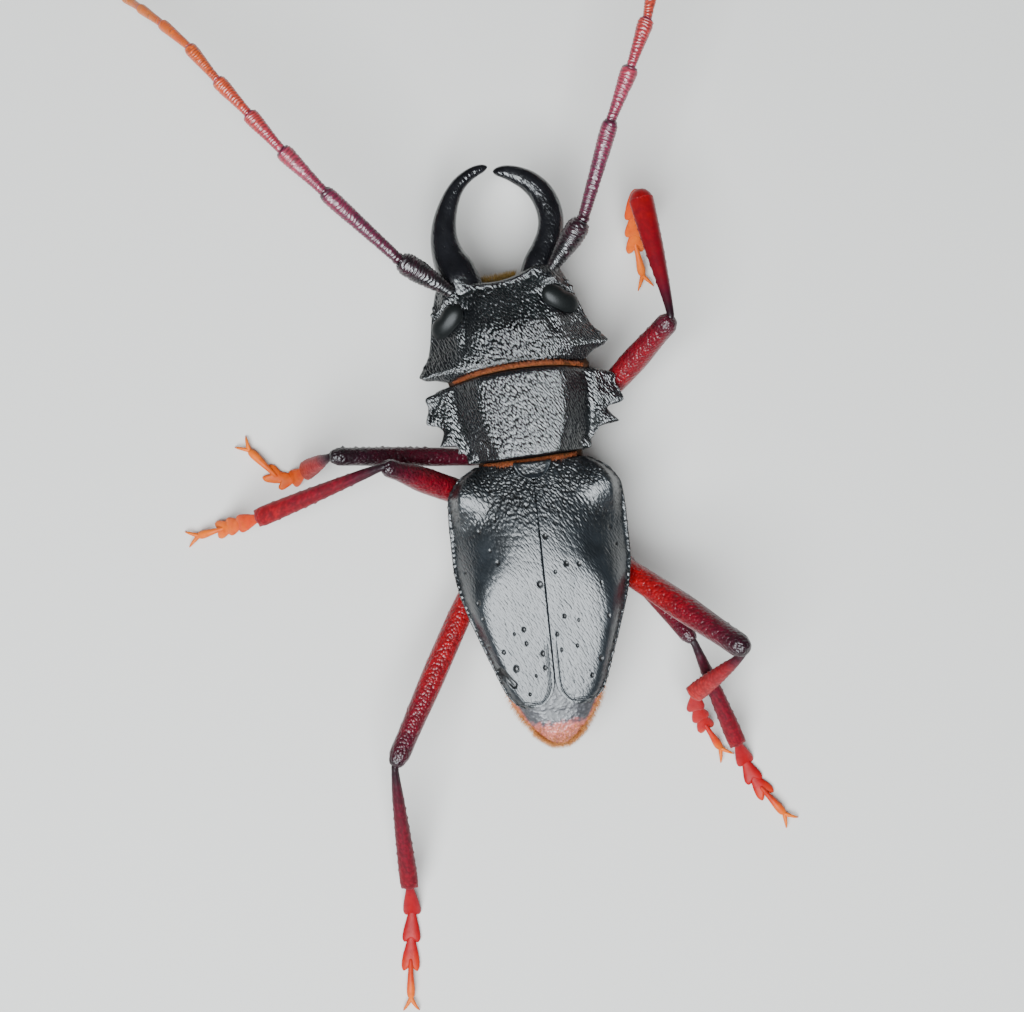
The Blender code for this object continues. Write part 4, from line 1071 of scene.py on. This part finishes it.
def shoulder_place(x, y):
    """Distances from the middle of the shoulder, along its ridge and across it."""
    return rotated(np.abs(x) - SHOULDER[0], y - SHOULDER[1], -SHOULDER_TURN)


def elytra_top(x, y):
    """Height of the smooth form of the wing cases' outer face: a dome with flatter top and
    steeper sides toward the rear, a raised shoulder, and a level ledge outside."""
    across = np.clip(np.abs(x) / np.interp(y, ELYTRA_PLACE, ELYTRA_HALF), 0.0, 1.0)
    inside = np.minimum(across / SHELF_START, 1.0)
    lift = REAR_LIFT * ease((y - 9.0) / 6.0)
    dome = (flowing(y, ELYTRA_DOME, 1.2) - lift) * (1.0 - inside ** flowing(y, ELYTRA_FLATNESS, 1.5))
    along_ridge, over_ridge = shoulder_place(x, y)
    shoulder = SHOULDER[2] - along_ridge ** 2 / 11.0 - over_ridge ** 2 / 4.6
    shoulder -= 36.0 * np.maximum(inside - 0.93, 0.0)
    above = np.clip((shoulder - dome) / 0.3, -30.0, 30.0)
    height = np.where(inside >= 0.999, dome, dome + 0.3 * np.log1p(np.exp(above)))
    return ELYTRA_MARGIN_Z + lift + height + 0.08 * ease((across - SHELF_START) / (1.0 - SHELF_START))


def sheet(half, share, along):
    """Places of rows of that half width: x and y of a grid of points."""
    x = half[:, None] * share
    return x, np.broadcast_to(along[:, None], x.shape)


def scutellum_half(y):
    """Half the width of the scutellum: half an oval."""
    along = (y - SCUTELLUM_FRONT) / SCUTELLUM_LENGTH
    return SCUTELLUM_HALF * np.sqrt(np.clip(1.0 - along * along, 0.0, 1.0))


def scutellum_relief(place, normal):
    """Shallow pits inside a smooth rim."""
    half = float(scutellum_half(place.y)) + 1e-6
    rim = max(abs(place.x) / half, (place.y - SCUTELLUM_FRONT) / SCUTELLUM_LENGTH)
    pitted = 0.15 + 0.7 * granule(place, 0.26)
    return pitted + (0.95 - pitted) * float(ease((rim - 0.72) / 0.12))


stations = np.sin(0.5 * math.pi * np.linspace(0.0, 1.0, 9))
along = SCUTELLUM_FRONT + 0.15 + (SCUTELLUM_LENGTH - 0.15) * stations
half = np.maximum(scutellum_half(along), 0.2)
share = edge_spread(11)
x, y = sheet(half, share, along)
raised_tip = 0.12 * ease((y - SCUTELLUM_LENGTH - SCUTELLUM_FRONT + 0.4) / 0.3)
z = 0.35 * elytra_top(x, y) + 0.65 * elytra_top(0.0, 1.15) + 0.05 + 0.12 * share ** 4 + raised_tip
shield_piece = plate("scutellum_plate", np.dstack([x, y, z]), np.dstack([x, y, z - 0.9]), fine_top=False)
roughen(shield_piece, scutellum_relief, 0.08)
satin_black = black_shell("satin_black", (0.006, 0.008, 0.010), 0.42, 0.31, 0.62, 4500.0, 0.00002,
                          0.2, 0.035)
dress(shield_piece, satin_black, "black_chitin", "scutellum")


# Wing cases
# Two hard covers that meet along the back, satin grey black behind and coarsely wrinkled at the
# base, with a shining shoulder, a level ledge along the side, a fine bead round the tip, and
# scattered round pits. The right one is shaped after the left one, and each has its own pits.
SEAM_END = 23.6
TIP_INNER = 2.7
ELYTRA_TIP = 26.55
PITS = {
    "left": ((2.8, 17.6, 0.3), (4.1, 21.9, 0.42), (1.0, 20.5, 0.34), (5.3, 19.9, 0.26), (2.7, 19.2, 0.26),
             (0.9, 22.1, 0.28), (7.5, 14.2, 0.3), (4.9, 10.0, 0.28), (2.9, 24.9, 0.2), (0.5, 12.8, 0.42),
             (7.2, 16.0, 0.24), (6.9, 19.2, 0.24), (3.9, 18.0, 0.18), (2.0, 22.9, 0.18), (6.6, 6.4, 0.26),
             (5.6, 8.6, 0.16), (8.6, 10.8, 0.2)),
    "right": ((0.6, 7.6, 0.34), (2.6, 10.8, 0.34), (4.0, 11.0, 0.28), (6.7, 17.0, 0.26), (5.4, 21.7, 0.38),
              (0.8, 18.5, 0.26), (1.8, 16.6, 0.26), (4.2, 23.5, 0.28), (3.3, 17.2, 0.2), (1.1, 20.3, 0.2),
              (7.9, 7.4, 0.24), (8.4, 9.3, 0.2), (1.3, 11.6, 0.2), (2.9, 20.0, 0.2), (6.2, 13.3, 0.18)),
}
SCAR = ((5.9, 22.0), (4.6, 23.7), 0.38)
PIT_DEPTH = 0.2
SCAR_DEPTH = 0.3
FOLD_HEIGHT = 0.12
LEATHER_HEIGHT = 0.014
SWELL_HEIGHT = 0.04
CRENEL_HEIGHT = 0.14


def slanting(place, across, along):
    """A place on the wing case's own slanting weave of wrinkles."""
    right, left = (place.x + place.y) * 0.7071, (place.y - place.x) * 0.7071
    return Vector((right / across, left / along, place.z / across))


for side, sign in SIDES.items():
    along = np.concatenate([[-0.8, -0.62], np.linspace(-0.3, 2.6, 7), np.linspace(3.4, 22.8, 22),
                            [23.6, 24.3, 24.9, 25.3, 25.65, 26.0, 26.3, 26.47, ELYTRA_TIP]])
    share = 0.5 + 0.5 * edge_spread(23)
    outer = np.interp(along, ELYTRA_PLACE, ELYTRA_HALF)
    inner = np.where(along < 1.3, np.maximum(0.0, scutellum_half(along) + 0.06), 0.0)
    past = np.clip((along - SEAM_END) / (ELYTRA_TIP - SEAM_END), 0.0, 1.0)
    inner = inner + (TIP_INNER - inner) * (1.0 - np.sqrt(1.0 - past ** 2))
    x = inner[:, None] + (outer - inner)[:, None] * share
    y = np.broadcast_to(along[:, None], x.shape)
    z = elytra_top(x, y)
    z = z - 0.5 * np.clip(1.0 - (y + 0.8) / 0.9, 0.0, 1.0) ** 2
    cover = plate("wing_case_" + side, np.dstack([sign * x, y, z]),
                  np.dstack([sign * x, y, z - ELYTRA_THICK]))
    points = read_points(cover)
    slopes = read_rows(cover.data.vertices, "normal")
    heights = np.zeros(len(points))
    rise = np.full(len(points), 0.75)
    upper = ease((slopes[:, 2] - 0.05) / 0.3)
    for pit_x, pit_y, size in PITS[side]:
        away = np.hypot(points[:, 0] - sign * pit_x, (points[:, 1] - pit_y) * 0.85) / size
        pit = 1.0 - ease((away - 0.05) / 1.05)
        heights -= PIT_DEPTH * (0.5 + size) * pit
        # a low rise makes the pit rougher and paints shade into it
        rise -= 1.1 * pit
    if side == "left":
        # an old scar beside the rim: a groove, written with a low rise so that the finish makes it rougher
        # and darker
        run = np.array(SCAR[1]) - np.array(SCAR[0])
        share_along = np.clip((points[:, :2] - SCAR[0]) @ run / (run @ run), 0.0, 1.0)
        away = np.linalg.norm(points[:, :2] - SCAR[0] - share_along[:, None] * run, axis=1) / SCAR[2]
        scar = 1.0 - ease((away - 0.6) / 0.6)
        heights -= SCAR_DEPTH * scar
        rise -= 1.8 * scar
    # border along the rear of the seam and round the tip
    width = np.interp(points[:, 1], ELYTRA_PLACE, ELYTRA_HALF)
    seam = np.interp(points[:, 1], along, inner)
    from_seam = np.abs(points[:, 0]) - seam
    from_side = width - np.abs(points[:, 0])
    from_tip = np.minimum(from_seam, np.maximum(ELYTRA_TIP - points[:, 1], 0.0))
    border = np.where(points[:, 1] > 20.0, from_tip, from_seam)
    rear = ease((points[:, 1] - 18.0) / 3.0) * ease((np.abs(points[:, 0]) - 0.1) / 0.1)
    bead = 0.05 * np.exp(-((border - 0.5) / 0.08) ** 2) - 0.035 * np.exp(-((border - 0.68) / 0.08) ** 2)
    heights += rear * bead
    ledge = ease((0.52 - from_side) / 0.12)
    along_ridge, over_ridge = shoulder_place(points[:, 0], points[:, 1])
    shoulder = np.exp(-(along_ridge / 2.2) ** 2 - ((over_ridge - 0.4) / 1.1) ** 2)
    base_wrinkles_and_shade = ease((9.5 - points[:, 1]) / 7.5) * (1.0 - shoulder)
    for k, point in enumerate(points):
        if upper[k] <= 0.0:
            continue
        place = Vector(point)
        fold = 1.0 - abs(noise.noise(slanting(place, 0.2, 0.6))) * 2.6
        leather = noise.noise(slanting(place, 0.15, 0.7))
        swell = noise.noise(place / 2.4)
        coarse = base_wrinkles_and_shade[k] * (1.0 - ledge[k])
        heights[k] += coarse * FOLD_HEIGHT * fold + (1.0 - ledge[k]) * LEATHER_HEIGHT * leather
        heights[k] += SWELL_HEIGHT * swell
        # the valleys of the base folds get a low rise, which paints shade into them
        rise[k] -= coarse * 0.75 * (1.0 - fold)
        if from_side[k] < 0.5:
            crenel = noise.noise(Vector((place.x / 0.6, place.y / 0.3, 0.0)))
            heights[k] += CRENEL_HEIGHT * crenel
            rise[k] -= 1.2 * max(0.0, 1.0 - from_side[k] / 0.2) + 2.4 * max(0.0, crenel)
    set_points(cover, points + slopes * (heights * upper)[:, None])
    write_values(cover, "rise", rise)
    dress(cover, satin_black, "black_chitin", "elytron_" + side)


# Body under the wing cases
# The hind thorax and the ringed abdomen, black below, whose tip shows behind the wing cases.
PTERO_PLACE = (-0.6, 0.6, 2.5, 5.0, 7.2, 9.4)
PTERO_HALF = (5.6, 6.8, 7.6, 7.75, 7.85, 7.9)
BELLY_Z = 6.0
WAIST = 9.4
UNDER_Z = ELYTRA_MARGIN_Z - ELYTRA_THICK - 1.2
share = edge_spread(21)
along = np.linspace(PTERO_PLACE[0], WAIST, 14)
half = np.interp(along, PTERO_PLACE, PTERO_HALF)
x, y = sheet(half, share, along)
z = np.minimum(elytra_top(x, y) - ELYTRA_THICK - 0.4, 11.6)
low = BELLY_Z + (UNDER_Z - BELLY_Z) * np.abs(share) ** 2.4 + 0.12 * np.exp(-(x / 0.3) ** 2)
trunk = plate("hind_thorax", np.dstack([x, y, z]), np.dstack([x, y, low]), fine_top=False)
roughen(trunk, close_grains, 0.08)
dress(trunk, granulate_black, "black_chitin", "pterothorax")

ABDOMEN_PLACE = (9.7, 13.0, 15.0, 17.0, 20.0, 22.0, 25.0, 26.5, 28.0, 29.3, 30.4, 31.1)
ABDOMEN_HALF = (8.0, 7.6, 7.1, 6.65, 6.1, 6.0, 5.5, 4.9, 4.0, 2.95, 1.8, 0.7)
ABDOMEN_LOW = ((9.4, 6.0), (20.0, 6.3), (26.0, 6.9), (31.1, 7.6))
ABDOMEN_TOP = ((9.4, 12.3), (20.0, 12.0), (24.0, 11.3), (26.5, 10.8), (28.5, 10.35), (30.0, 9.7),
               (31.1, 8.7))
ABDOMEN_EDGE = ((9.4, 9.0), (15.0, 9.8), (24.0, 9.6), (28.0, 8.7), (31.1, 7.9))
SEGMENTS = (13.2, 17.0, 20.6, 23.8, 27.4)
CREASE_ABOVE = 0.1
CREASE_BELOW = 0.22


def abdomen_top(x, y):
    """Height of the abdomen's upper face: a low smooth dome that sinks toward the tail."""
    middle, edge = read_table(y, ABDOMEN_TOP), read_table(y, ABDOMEN_EDGE)
    share = np.clip(np.abs(x) / np.interp(y, ABDOMEN_PLACE, ABDOMEN_HALF), 0.0, 1.0)
    return edge + (middle - edge) * (1.0 - share ** 3.4) ** 0.9


along = np.concatenate([np.linspace(9.7, 26.5, 36), np.linspace(26.9, 31.1, 12)])
half = np.interp(along, ABDOMEN_PLACE, ABDOMEN_HALF)
x, y = sheet(half, share, along)
low = read_table(along, ABDOMEN_LOW)[:, None]
low = np.minimum(low + (UNDER_Z - low) * np.abs(share) ** 2.4, 8.1)
crease = sum(np.exp(-((along - s) / 0.22) ** 2) for s in SEGMENTS)[:, None]
z = abdomen_top(x, y)
tail = plate("abdomen_rings", np.dstack([x, y, z - CREASE_ABOVE * crease]),
             np.dstack([x, y, low + CREASE_BELOW * crease]), fine_top=False)


def tail_relief(place, normal):
    """Rounded grains on low swells."""
    return 0.3 + 0.7 * granule(place, 0.3) ** 1.5 + 0.3 * noise.noise(place / 0.8)


roughen(tail, tail_relief, 0.12)
points = read_points(tail)
from_edge = 1.0 - np.abs(points[:, 0]) / np.interp(points[:, 1], ABDOMEN_PLACE, ABDOMEN_HALF)
ragged = np.array([noise.noise(Vector((p[0] / 0.5, p[1] / 0.5, 0.0))) for p in points])
ripeness = np.maximum(0.8 * ease((points[:, 1] + 0.7 * ragged - 27.9) / 1.2),
                      0.9 * ease((points[:, 1] - 21.0) / 4.0) * ease((0.2 - from_edge) / 0.15))
write_values(tail, "ripe", 0.05 + 0.8 * ripeness)
tail_skin = red_shell("tail_skin", 0.5, 0.32, 5000.0, 0.00004,
                      ((0.2, (0.055, 0.054, 0.060)), (0.4, (0.18, 0.065, 0.070)),
                       (0.7, (0.52, 0.13, 0.10)), (0.9, (0.66, 0.19, 0.06))), 0.8, 0.0)
dress(tail, tail_skin, "black_chitin", "abdomen")

# orange hairs that stand out round its end and lie back on it, thinner above
TAIL_HAIRS = 3000
END_HAIRS = 900
tail_orange = hair_finish("tail_orange", (0.34, 0.09, 0.02), (0.80, 0.38, 0.12))
draw = np.random.default_rng(23)
hair_y = 21.5 + (ABDOMEN_PLACE[-1] - 21.5) * draw.random(TAIL_HAIRS) ** 0.55
near_edge = draw.random(TAIL_HAIRS) < 0.6
out = np.where(near_edge, draw.uniform(0.86, 1.0, TAIL_HAIRS), draw.uniform(0.0, 0.9, TAIL_HAIRS))
hair_side = np.where(draw.random(TAIL_HAIRS) < 0.5, -1.0, 1.0)
hair_x = hair_side * out * np.interp(hair_y, ABDOMEN_PLACE, ABDOMEN_HALF)
keep = near_edge | (hair_y > 28.8)
hair_x, hair_y, out, hair_side = hair_x[keep], hair_y[keep], out[keep], hair_side[keep]
skin_top = abdomen_top(hair_x, hair_y)
hair_z = np.where(out > 0.85, skin_top - draw.uniform(0.0, 0.5, len(out)), skin_top - 0.05)
ways = np.column_stack([hair_side * out ** 3 * 0.9, np.ones(len(out)), np.full(len(out), 0.25)])
end_x = draw.uniform(-2.8, 2.8, END_HAIRS)
end_y = np.interp(np.abs(end_x), ABDOMEN_HALF[::-1], ABDOMEN_PLACE[::-1]) - 0.05
end_z = abdomen_top(end_x * 0.8, end_y) - draw.uniform(0.1, 0.8, END_HAIRS)
end_roots = np.column_stack([end_x, end_y, end_z])
end_ways = np.column_stack([end_x * 0.35, np.ones(END_HAIRS), draw.uniform(0.0, 0.3, END_HAIRS)])
roots = np.concatenate([np.column_stack([hair_x * 0.985, hair_y, hair_z]), end_roots])
lengths = np.concatenate([np.where(out > 0.85, 0.75, 0.35), np.full(END_HAIRS, 0.7)])
tail_coat = hairs("tail_hairs", roots, np.concatenate([ways, end_ways]), lengths, 0.026, 29)
dress(tail_coat, tail_orange, "orange_chitin")


# Legs
# Six legs of hip, thigh, shin and foot, red with darker knees. Thighs and shins are granular and
# carry rows of small thorns; the feet have three broad lobed pads, a slim last joint and two
# claws. Each part is a limb cut into rings along its line.
LEGS = {
    "fore_left": dict(coxa=(3.9, -3.2, 5.3), hip=(5.3, -1.7, 5.2), rim=(8.6, -2.3, 6.2),
                      knee=(22.0, -3.6, 14.5), ankle=(26.1, -2.6, 3.0),
                      foot=((27.6, -2.0, 0.35), (28.9, -1.9, 0.35), (30.0, -2.6, 0.35)),
                      claws=(32.5, -5.8), girth=(1.1, 1.14, 1.06), shin_r=1.15, teeth=0.36,
                      thigh=((0.0, 0.38), (0.5, 0.34), (0.8, 0.2), (1.0, 0.05)),
                      shin=((0.0, 0.35), (0.3, 0.6), (1.0, 0.8)), sole=((0.0, 0.86), (1.0, 0.97))),
    "fore_right": dict(coxa=(-3.7, -3.5, 5.3), hip=(-5.2, -4.6, 5.2), rim=(-10.3, -8.8, 6.8),
                       knee=(-17.0, -14.8, 14.2), ankle=(-15.2, -29.9, 9.6), start=(-15.1, -30.1, 8.1),
                       foot=((-14.6, -27.6, 5.9), (-14.6, -26.0, 3.7), (-14.7, -24.6, 1.8)),
                       claws=(-15.3, -21.2), girth=(1.35, 1.52, 1.3), shin_r=1.42, teeth=0.16, blunt=0.1,
                       thigh=((0.0, 0.55), (0.5, 0.58), (0.85, 0.52), (1.0, 0.3)),
                       shin=((0.0, 0.3), (0.3, 0.54), (1.0, 0.66)), sole=((0.0, 0.85), (1.0, 0.97))),
    "mid_left": dict(coxa=(3.9, 3.4, 5.2), hip=(5.6, 3.0, 5.2), rim=(9.0, 1.5, 7.2),
                     knee=(16.2, -1.9, 15.5), ankle=(31.8, 2.3, 6.6),
                     foot=((33.7, 2.6, 4.4), (35.2, 2.8, 2.6), (36.5, 3.0, 1.2)),
                     claws=(39.4, 3.5), girth=(1.5, 1.5, 1.08), shin_r=1.15, teeth=0.14,
                     thigh=((0.0, 0.6), (0.6, 0.54), (0.85, 0.4), (1.0, 0.15)),
                     shin=((0.0, 0.3), (0.3, 0.5), (1.0, 0.62)), sole=((0.0, 0.82), (1.0, 0.97))),
    "mid_right": dict(coxa=(-3.9, 4.2, 5.0), hip=(-5.6, 5.2, 4.6), rim=(-9.9, 12.2, 4.4),
                      knee=(-16.0, 21.2, 9.6), ankle=(-20.4, 34.2, 2.9),
                      foot=((-21.2, 36.3, 0.35), (-21.9, 38.3, 0.35), (-22.9, 39.9, 0.35)),
                      claws=(-25.1, 43.0), girth=(1.0, 1.02, 1.0), shin_r=1.08, teeth=0.14,
                      thigh=((0.0, 0.62), (0.6, 0.56), (0.9, 0.4), (1.0, 0.2)),
                      shin=((0.0, 0.28), (0.3, 0.42), (1.0, 0.58)),
                      sole=((0.0, 0.6), (0.6, 0.7), (1.0, 0.97))),
    "hind_left": dict(coxa=(3.9, 8.0, 5.2), hip=(5.6, 9.4, 5.2), rim=(9.1, 14.3, 6.7),
                      knee=(18.8, 31.4, 11.5), ankle=(19.1, 46.6, 3.0),
                      foot=((19.3, 49.6, 0.35), (19.7, 52.6, 0.35), (20.1, 55.6, 0.35)),
                      claws=(20.5, 59.8), girth=(1.4, 1.42, 1.24), shin_r=1.1, teeth=0.2,
                      thigh=((0.0, 0.68), (0.6, 0.6), (0.85, 0.45), (1.0, 0.18)),
                      shin=((0.0, 0.2), (0.25, 0.4), (1.0, 0.55)),
                      sole=((0.0, 0.58), (0.6, 0.68), (1.0, 0.97))),
    "hind_right": dict(coxa=(-3.8, 8.6, 5.3), hip=(-5.5, 9.9, 5.2), rim=(-9.9, 12.9, 7.5),
                       knee=(-21.0, 22.2, 18.0), ankle=(-15.3, 27.3, 8.2),
                       foot=((-15.7, 28.9, 5.9), (-16.3, 30.3, 3.7), (-16.9, 31.6, 1.7)),
                       claws=(-18.5, 34.6), girth=(1.5, 1.62, 1.4), shin_r=1.15, teeth=0.14,
                       thigh=((0.0, 0.73), (0.5, 0.62), (0.85, 0.4), (1.0, 0.15)),
                       shin=((0.0, 0.3), (0.3, 0.58), (1.0, 0.7)),
                       sole=((0.0, 0.62), (0.7, 0.7), (1.0, 0.97))),
}
SHIN_FINISH = {"fore_left": foot_orange, "fore_right": smooth_red}
SHIN_START_R = 0.62
HIP_SIZE = (1.7, 1.5, 1.35)
TEETH = 15
CLAW_LENGTH = 1.9
CLAW_SPREAD = (33.0, -31.0)
CLAW_R = (0.24, 0.27, 0.25, 0.22, 0.19, 0.16, 0.12, 0.08, 0.04)


def grainy(place, normal):
    """Relief of a thigh: grains above, smoother below."""
    grains = granule(place, 0.3, 1.2)
    upward = 0.35 + 0.65 * max(0.0, normal[2])
    return 0.45 + (0.6 * grains - 0.15 + 0.2 * noise.noise(place / 0.8)) * upward


for name, plan in LEGS.items():
    outward = 1 if name.endswith("left") else -1
    coxa, hip, rim, knee, ankle = (np.array(plan[k]) for k in ("coxa", "hip", "rim", "knee", "ankle"))
    girth = plan["girth"]
    # hip joint: a rounded cone under the breast and the short joint that carries the thigh
    cup, round_points = ball(40, 24)
    set_points(cup, round_points * np.array(HIP_SIZE) + coxa)
    aim = unit(rim - hip)
    neck = closed_limb("neck", limb_rings([coxa, hip - aim, hip + aim * 0.25],
                                          [0.0, 0.3, 0.6, 0.85, 0.95, 1.0],
                                          [0.6, 0.8, 1.0, 0.92, 0.8, 0.4], 12))
    socket = join_pieces([cup, neck], "hip_joint_" + name)
    roughen(socket, grainy, 0.08)
    ripen(socket, coxa, hip, ((0.0, 0.12), (1.0, 0.3)))
    dress(socket, red_chitin, "purple_chitin", "coxa_" + name)
    # thigh
    shares = np.linspace(0.0, 1.0, 22)
    radii = np.interp(shares, (0.0, 0.08, 0.3, 0.6, 0.85, 0.95, 1.0),
                      (0.75, girth[0] * 0.85, girth[0], girth[1], girth[2] * 0.97, girth[2],
                       girth[2] * 0.85))
    shares, radii = round_ends(shares, radii, start=0.03, end=0.04)
    thigh = closed_limb("thigh_" + name, limb_rings([hip + aim * 0.15, rim, knee], shares, radii, 16, 0.95))
    front = unit(np.cross(knee - hip, UP)) * outward
    draw = np.random.default_rng(len(name) + int(10 * girth[0]))
    tooth_share = np.linspace(0.3, 0.93, TEETH) + draw.uniform(-0.012, 0.012, TEETH)
    tooth_r = np.interp(tooth_share, (0.3, 0.6, 0.95), girth)
    points = read_points(thigh)
    for place, r in zip(smooth_line([hip, rim, knee], tooth_share), tooth_r):
        way = unit(front - UP * draw.uniform(0.0, 0.6))
        draw_out(points, place + way * r * 0.9, place + way * (r * 0.9 + plan["teeth"]), 0.3)
    set_points(thigh, points)
    roughen(thigh, grainy, 0.08)
    ripen(thigh, hip, knee, plan["thigh"])
    dress(thigh, red_chitin, "red_chitin", "femur_" + name)
    # shin
    down = unit(ankle - knee)
    back = unit(rim - knee)
    fold = max(math.acos(float(np.clip(back @ down, -1.0, 1.0))), 0.3)
    clear = girth[2] * 0.8 + SHIN_START_R * 0.8 + 0.3
    start = knee + down * (clear / math.sin(fold) if fold < math.pi / 2 else clear)
    bend = knee + back * 0.55
    wide = plan["shin_r"]
    middle_r = SHIN_START_R * 0.4 + wide * 0.6
    shares = np.linspace(0.0, 1.0, 18)
    shoulder = np.linalg.norm(start - bend) / np.linalg.norm(ankle - bend)
    radii = np.interp(shares, (0.0, shoulder * 0.6, shoulder + 0.08, 0.55, 0.9, 1.0),
                      (SHIN_START_R * 0.72, SHIN_START_R * 0.7, SHIN_START_R, middle_r, wide, wide))
    shares, radii = round_ends(shares, radii, start=0.03, end=plan.get("blunt", 0.05))
    flats = np.interp(shares, (0.0, 0.4, 1.0), (1.0, 0.85, 0.6))
    shin = closed_limb("shin_" + name, limb_rings([bend, start, ankle], shares, radii, 16, flats))
    across = unit(np.cross(down, UP))
    points = read_points(shin)
    # two spurs at the ankle, but not on a blunt shin, and a row of thorns along each side
    blunt = "blunt" in plan
    if not blunt:
        for turn in (1, -1):
            draw_out(points, ankle - down * 0.35 + across * turn * wide * 0.8,
                     ankle - down * 0.05 + across * turn * (wide * 0.8 + 0.12), 0.45)
    for k in range(8 if blunt else 9):
        along = 0.18 + 0.08 * k
        place = start + (ankle - start) * along
        r = np.interp(along, (0.1, 0.5, 0.9), (SHIN_START_R, middle_r, wide))
        for turn in (1, -1):
            aside = across * turn
            draw_out(points, place + aside * r * 0.9, place + aside * (r + 0.1) + down * 0.1, 0.25)
    set_points(shin, points)
    roughen(shin, grainy, 0.09)
    ripen(shin, bend, ankle, ((0.0, 0.1), *plan["shin"][1:]))
    dress(shin, SHIN_FINISH.get(name, shin_red), "red_chitin", "tibia_" + name)
    # foot
    first = np.array(plan["start"]) if "start" in plan else ankle - down * 0.45
    joints = [first] + [np.array(p) for p in plan["foot"]]
    tip = np.array((*plan["claws"], 0.6))
    parts = []
    for k, (a, b) in enumerate(zip(joints, joints[1:])):
        run = unit(b - a)
        route = [a - run * 0.15, b + run * 0.35]
        if k == 0 and "start" in plan:
            route = [ankle - down * 0.2, a, a + run * 0.4, b + run * 0.35]
        rings = limb_rings(route, [0.0, 0.08, 0.25, 0.5, 0.72, 0.88, 0.96, 1.0],
                           [0.3, 0.45, 0.55, 0.8, 1.0, 1.05, 0.9, 0.5], 14, 0.45)
        pad = closed_limb("pad", rings)
        points = read_points(pad)
        aside = unit(np.cross(run, UP))
        for turn in (1, -1):
            lobe = b + run * 0.2 + aside * turn * 0.6
            draw_out(points, lobe, lobe + run * (0.5 if k < 2 else 0.9) + aside * turn * 0.2, 0.8, 1.0)
        draw_out(points, b + run * 0.4, b - run * 0.1, 0.55, 1.0)
        set_points(pad, points)
        parts.append(pad)
    root = joints[3] - unit(joints[3] - joints[2]) * 0.5 + UP * 0.25
    rise = (root + tip) / 2 + UP * 0.35
    shares = np.linspace(0.0, 1.0, 10)
    radii = np.interp(shares, (0.0, 0.3, 0.85, 1.0), (0.25, 0.3, 0.55, 0.35))
    parts.append(closed_limb("claw_joint", limb_rings([root, rise, tip], shares, radii, 12)))
    run = unit((tip - rise) * (1.0, 1.0, 0.0))
    for spread_by in CLAW_SPREAD:
        open_run = np.array((*rotated(run[0], run[1], spread_by), 0.0))
        bend_at = tip + open_run * CLAW_LENGTH * 0.6 + UP * 0.12
        point = tip + open_run * CLAW_LENGTH * 0.95 - UP * 0.52
        rings = limb_rings([tip - open_run * 0.25, bend_at, point], np.linspace(0.0, 1.0, 9), CLAW_R, 10)
        parts.append(closed_limb("claw", rings))
    foot = join_pieces(parts, "foot_" + name)
    points = read_points(foot)
    points[:, 2] = np.maximum(points[:, 2], 0.0)
    set_points(foot, points)
    roughen(foot, smooth_relief, 0.04)
    ripen(foot, first, tip, plan["sole"])
    dress(foot, foot_orange, "orange_chitin", "tarsus_" + name)
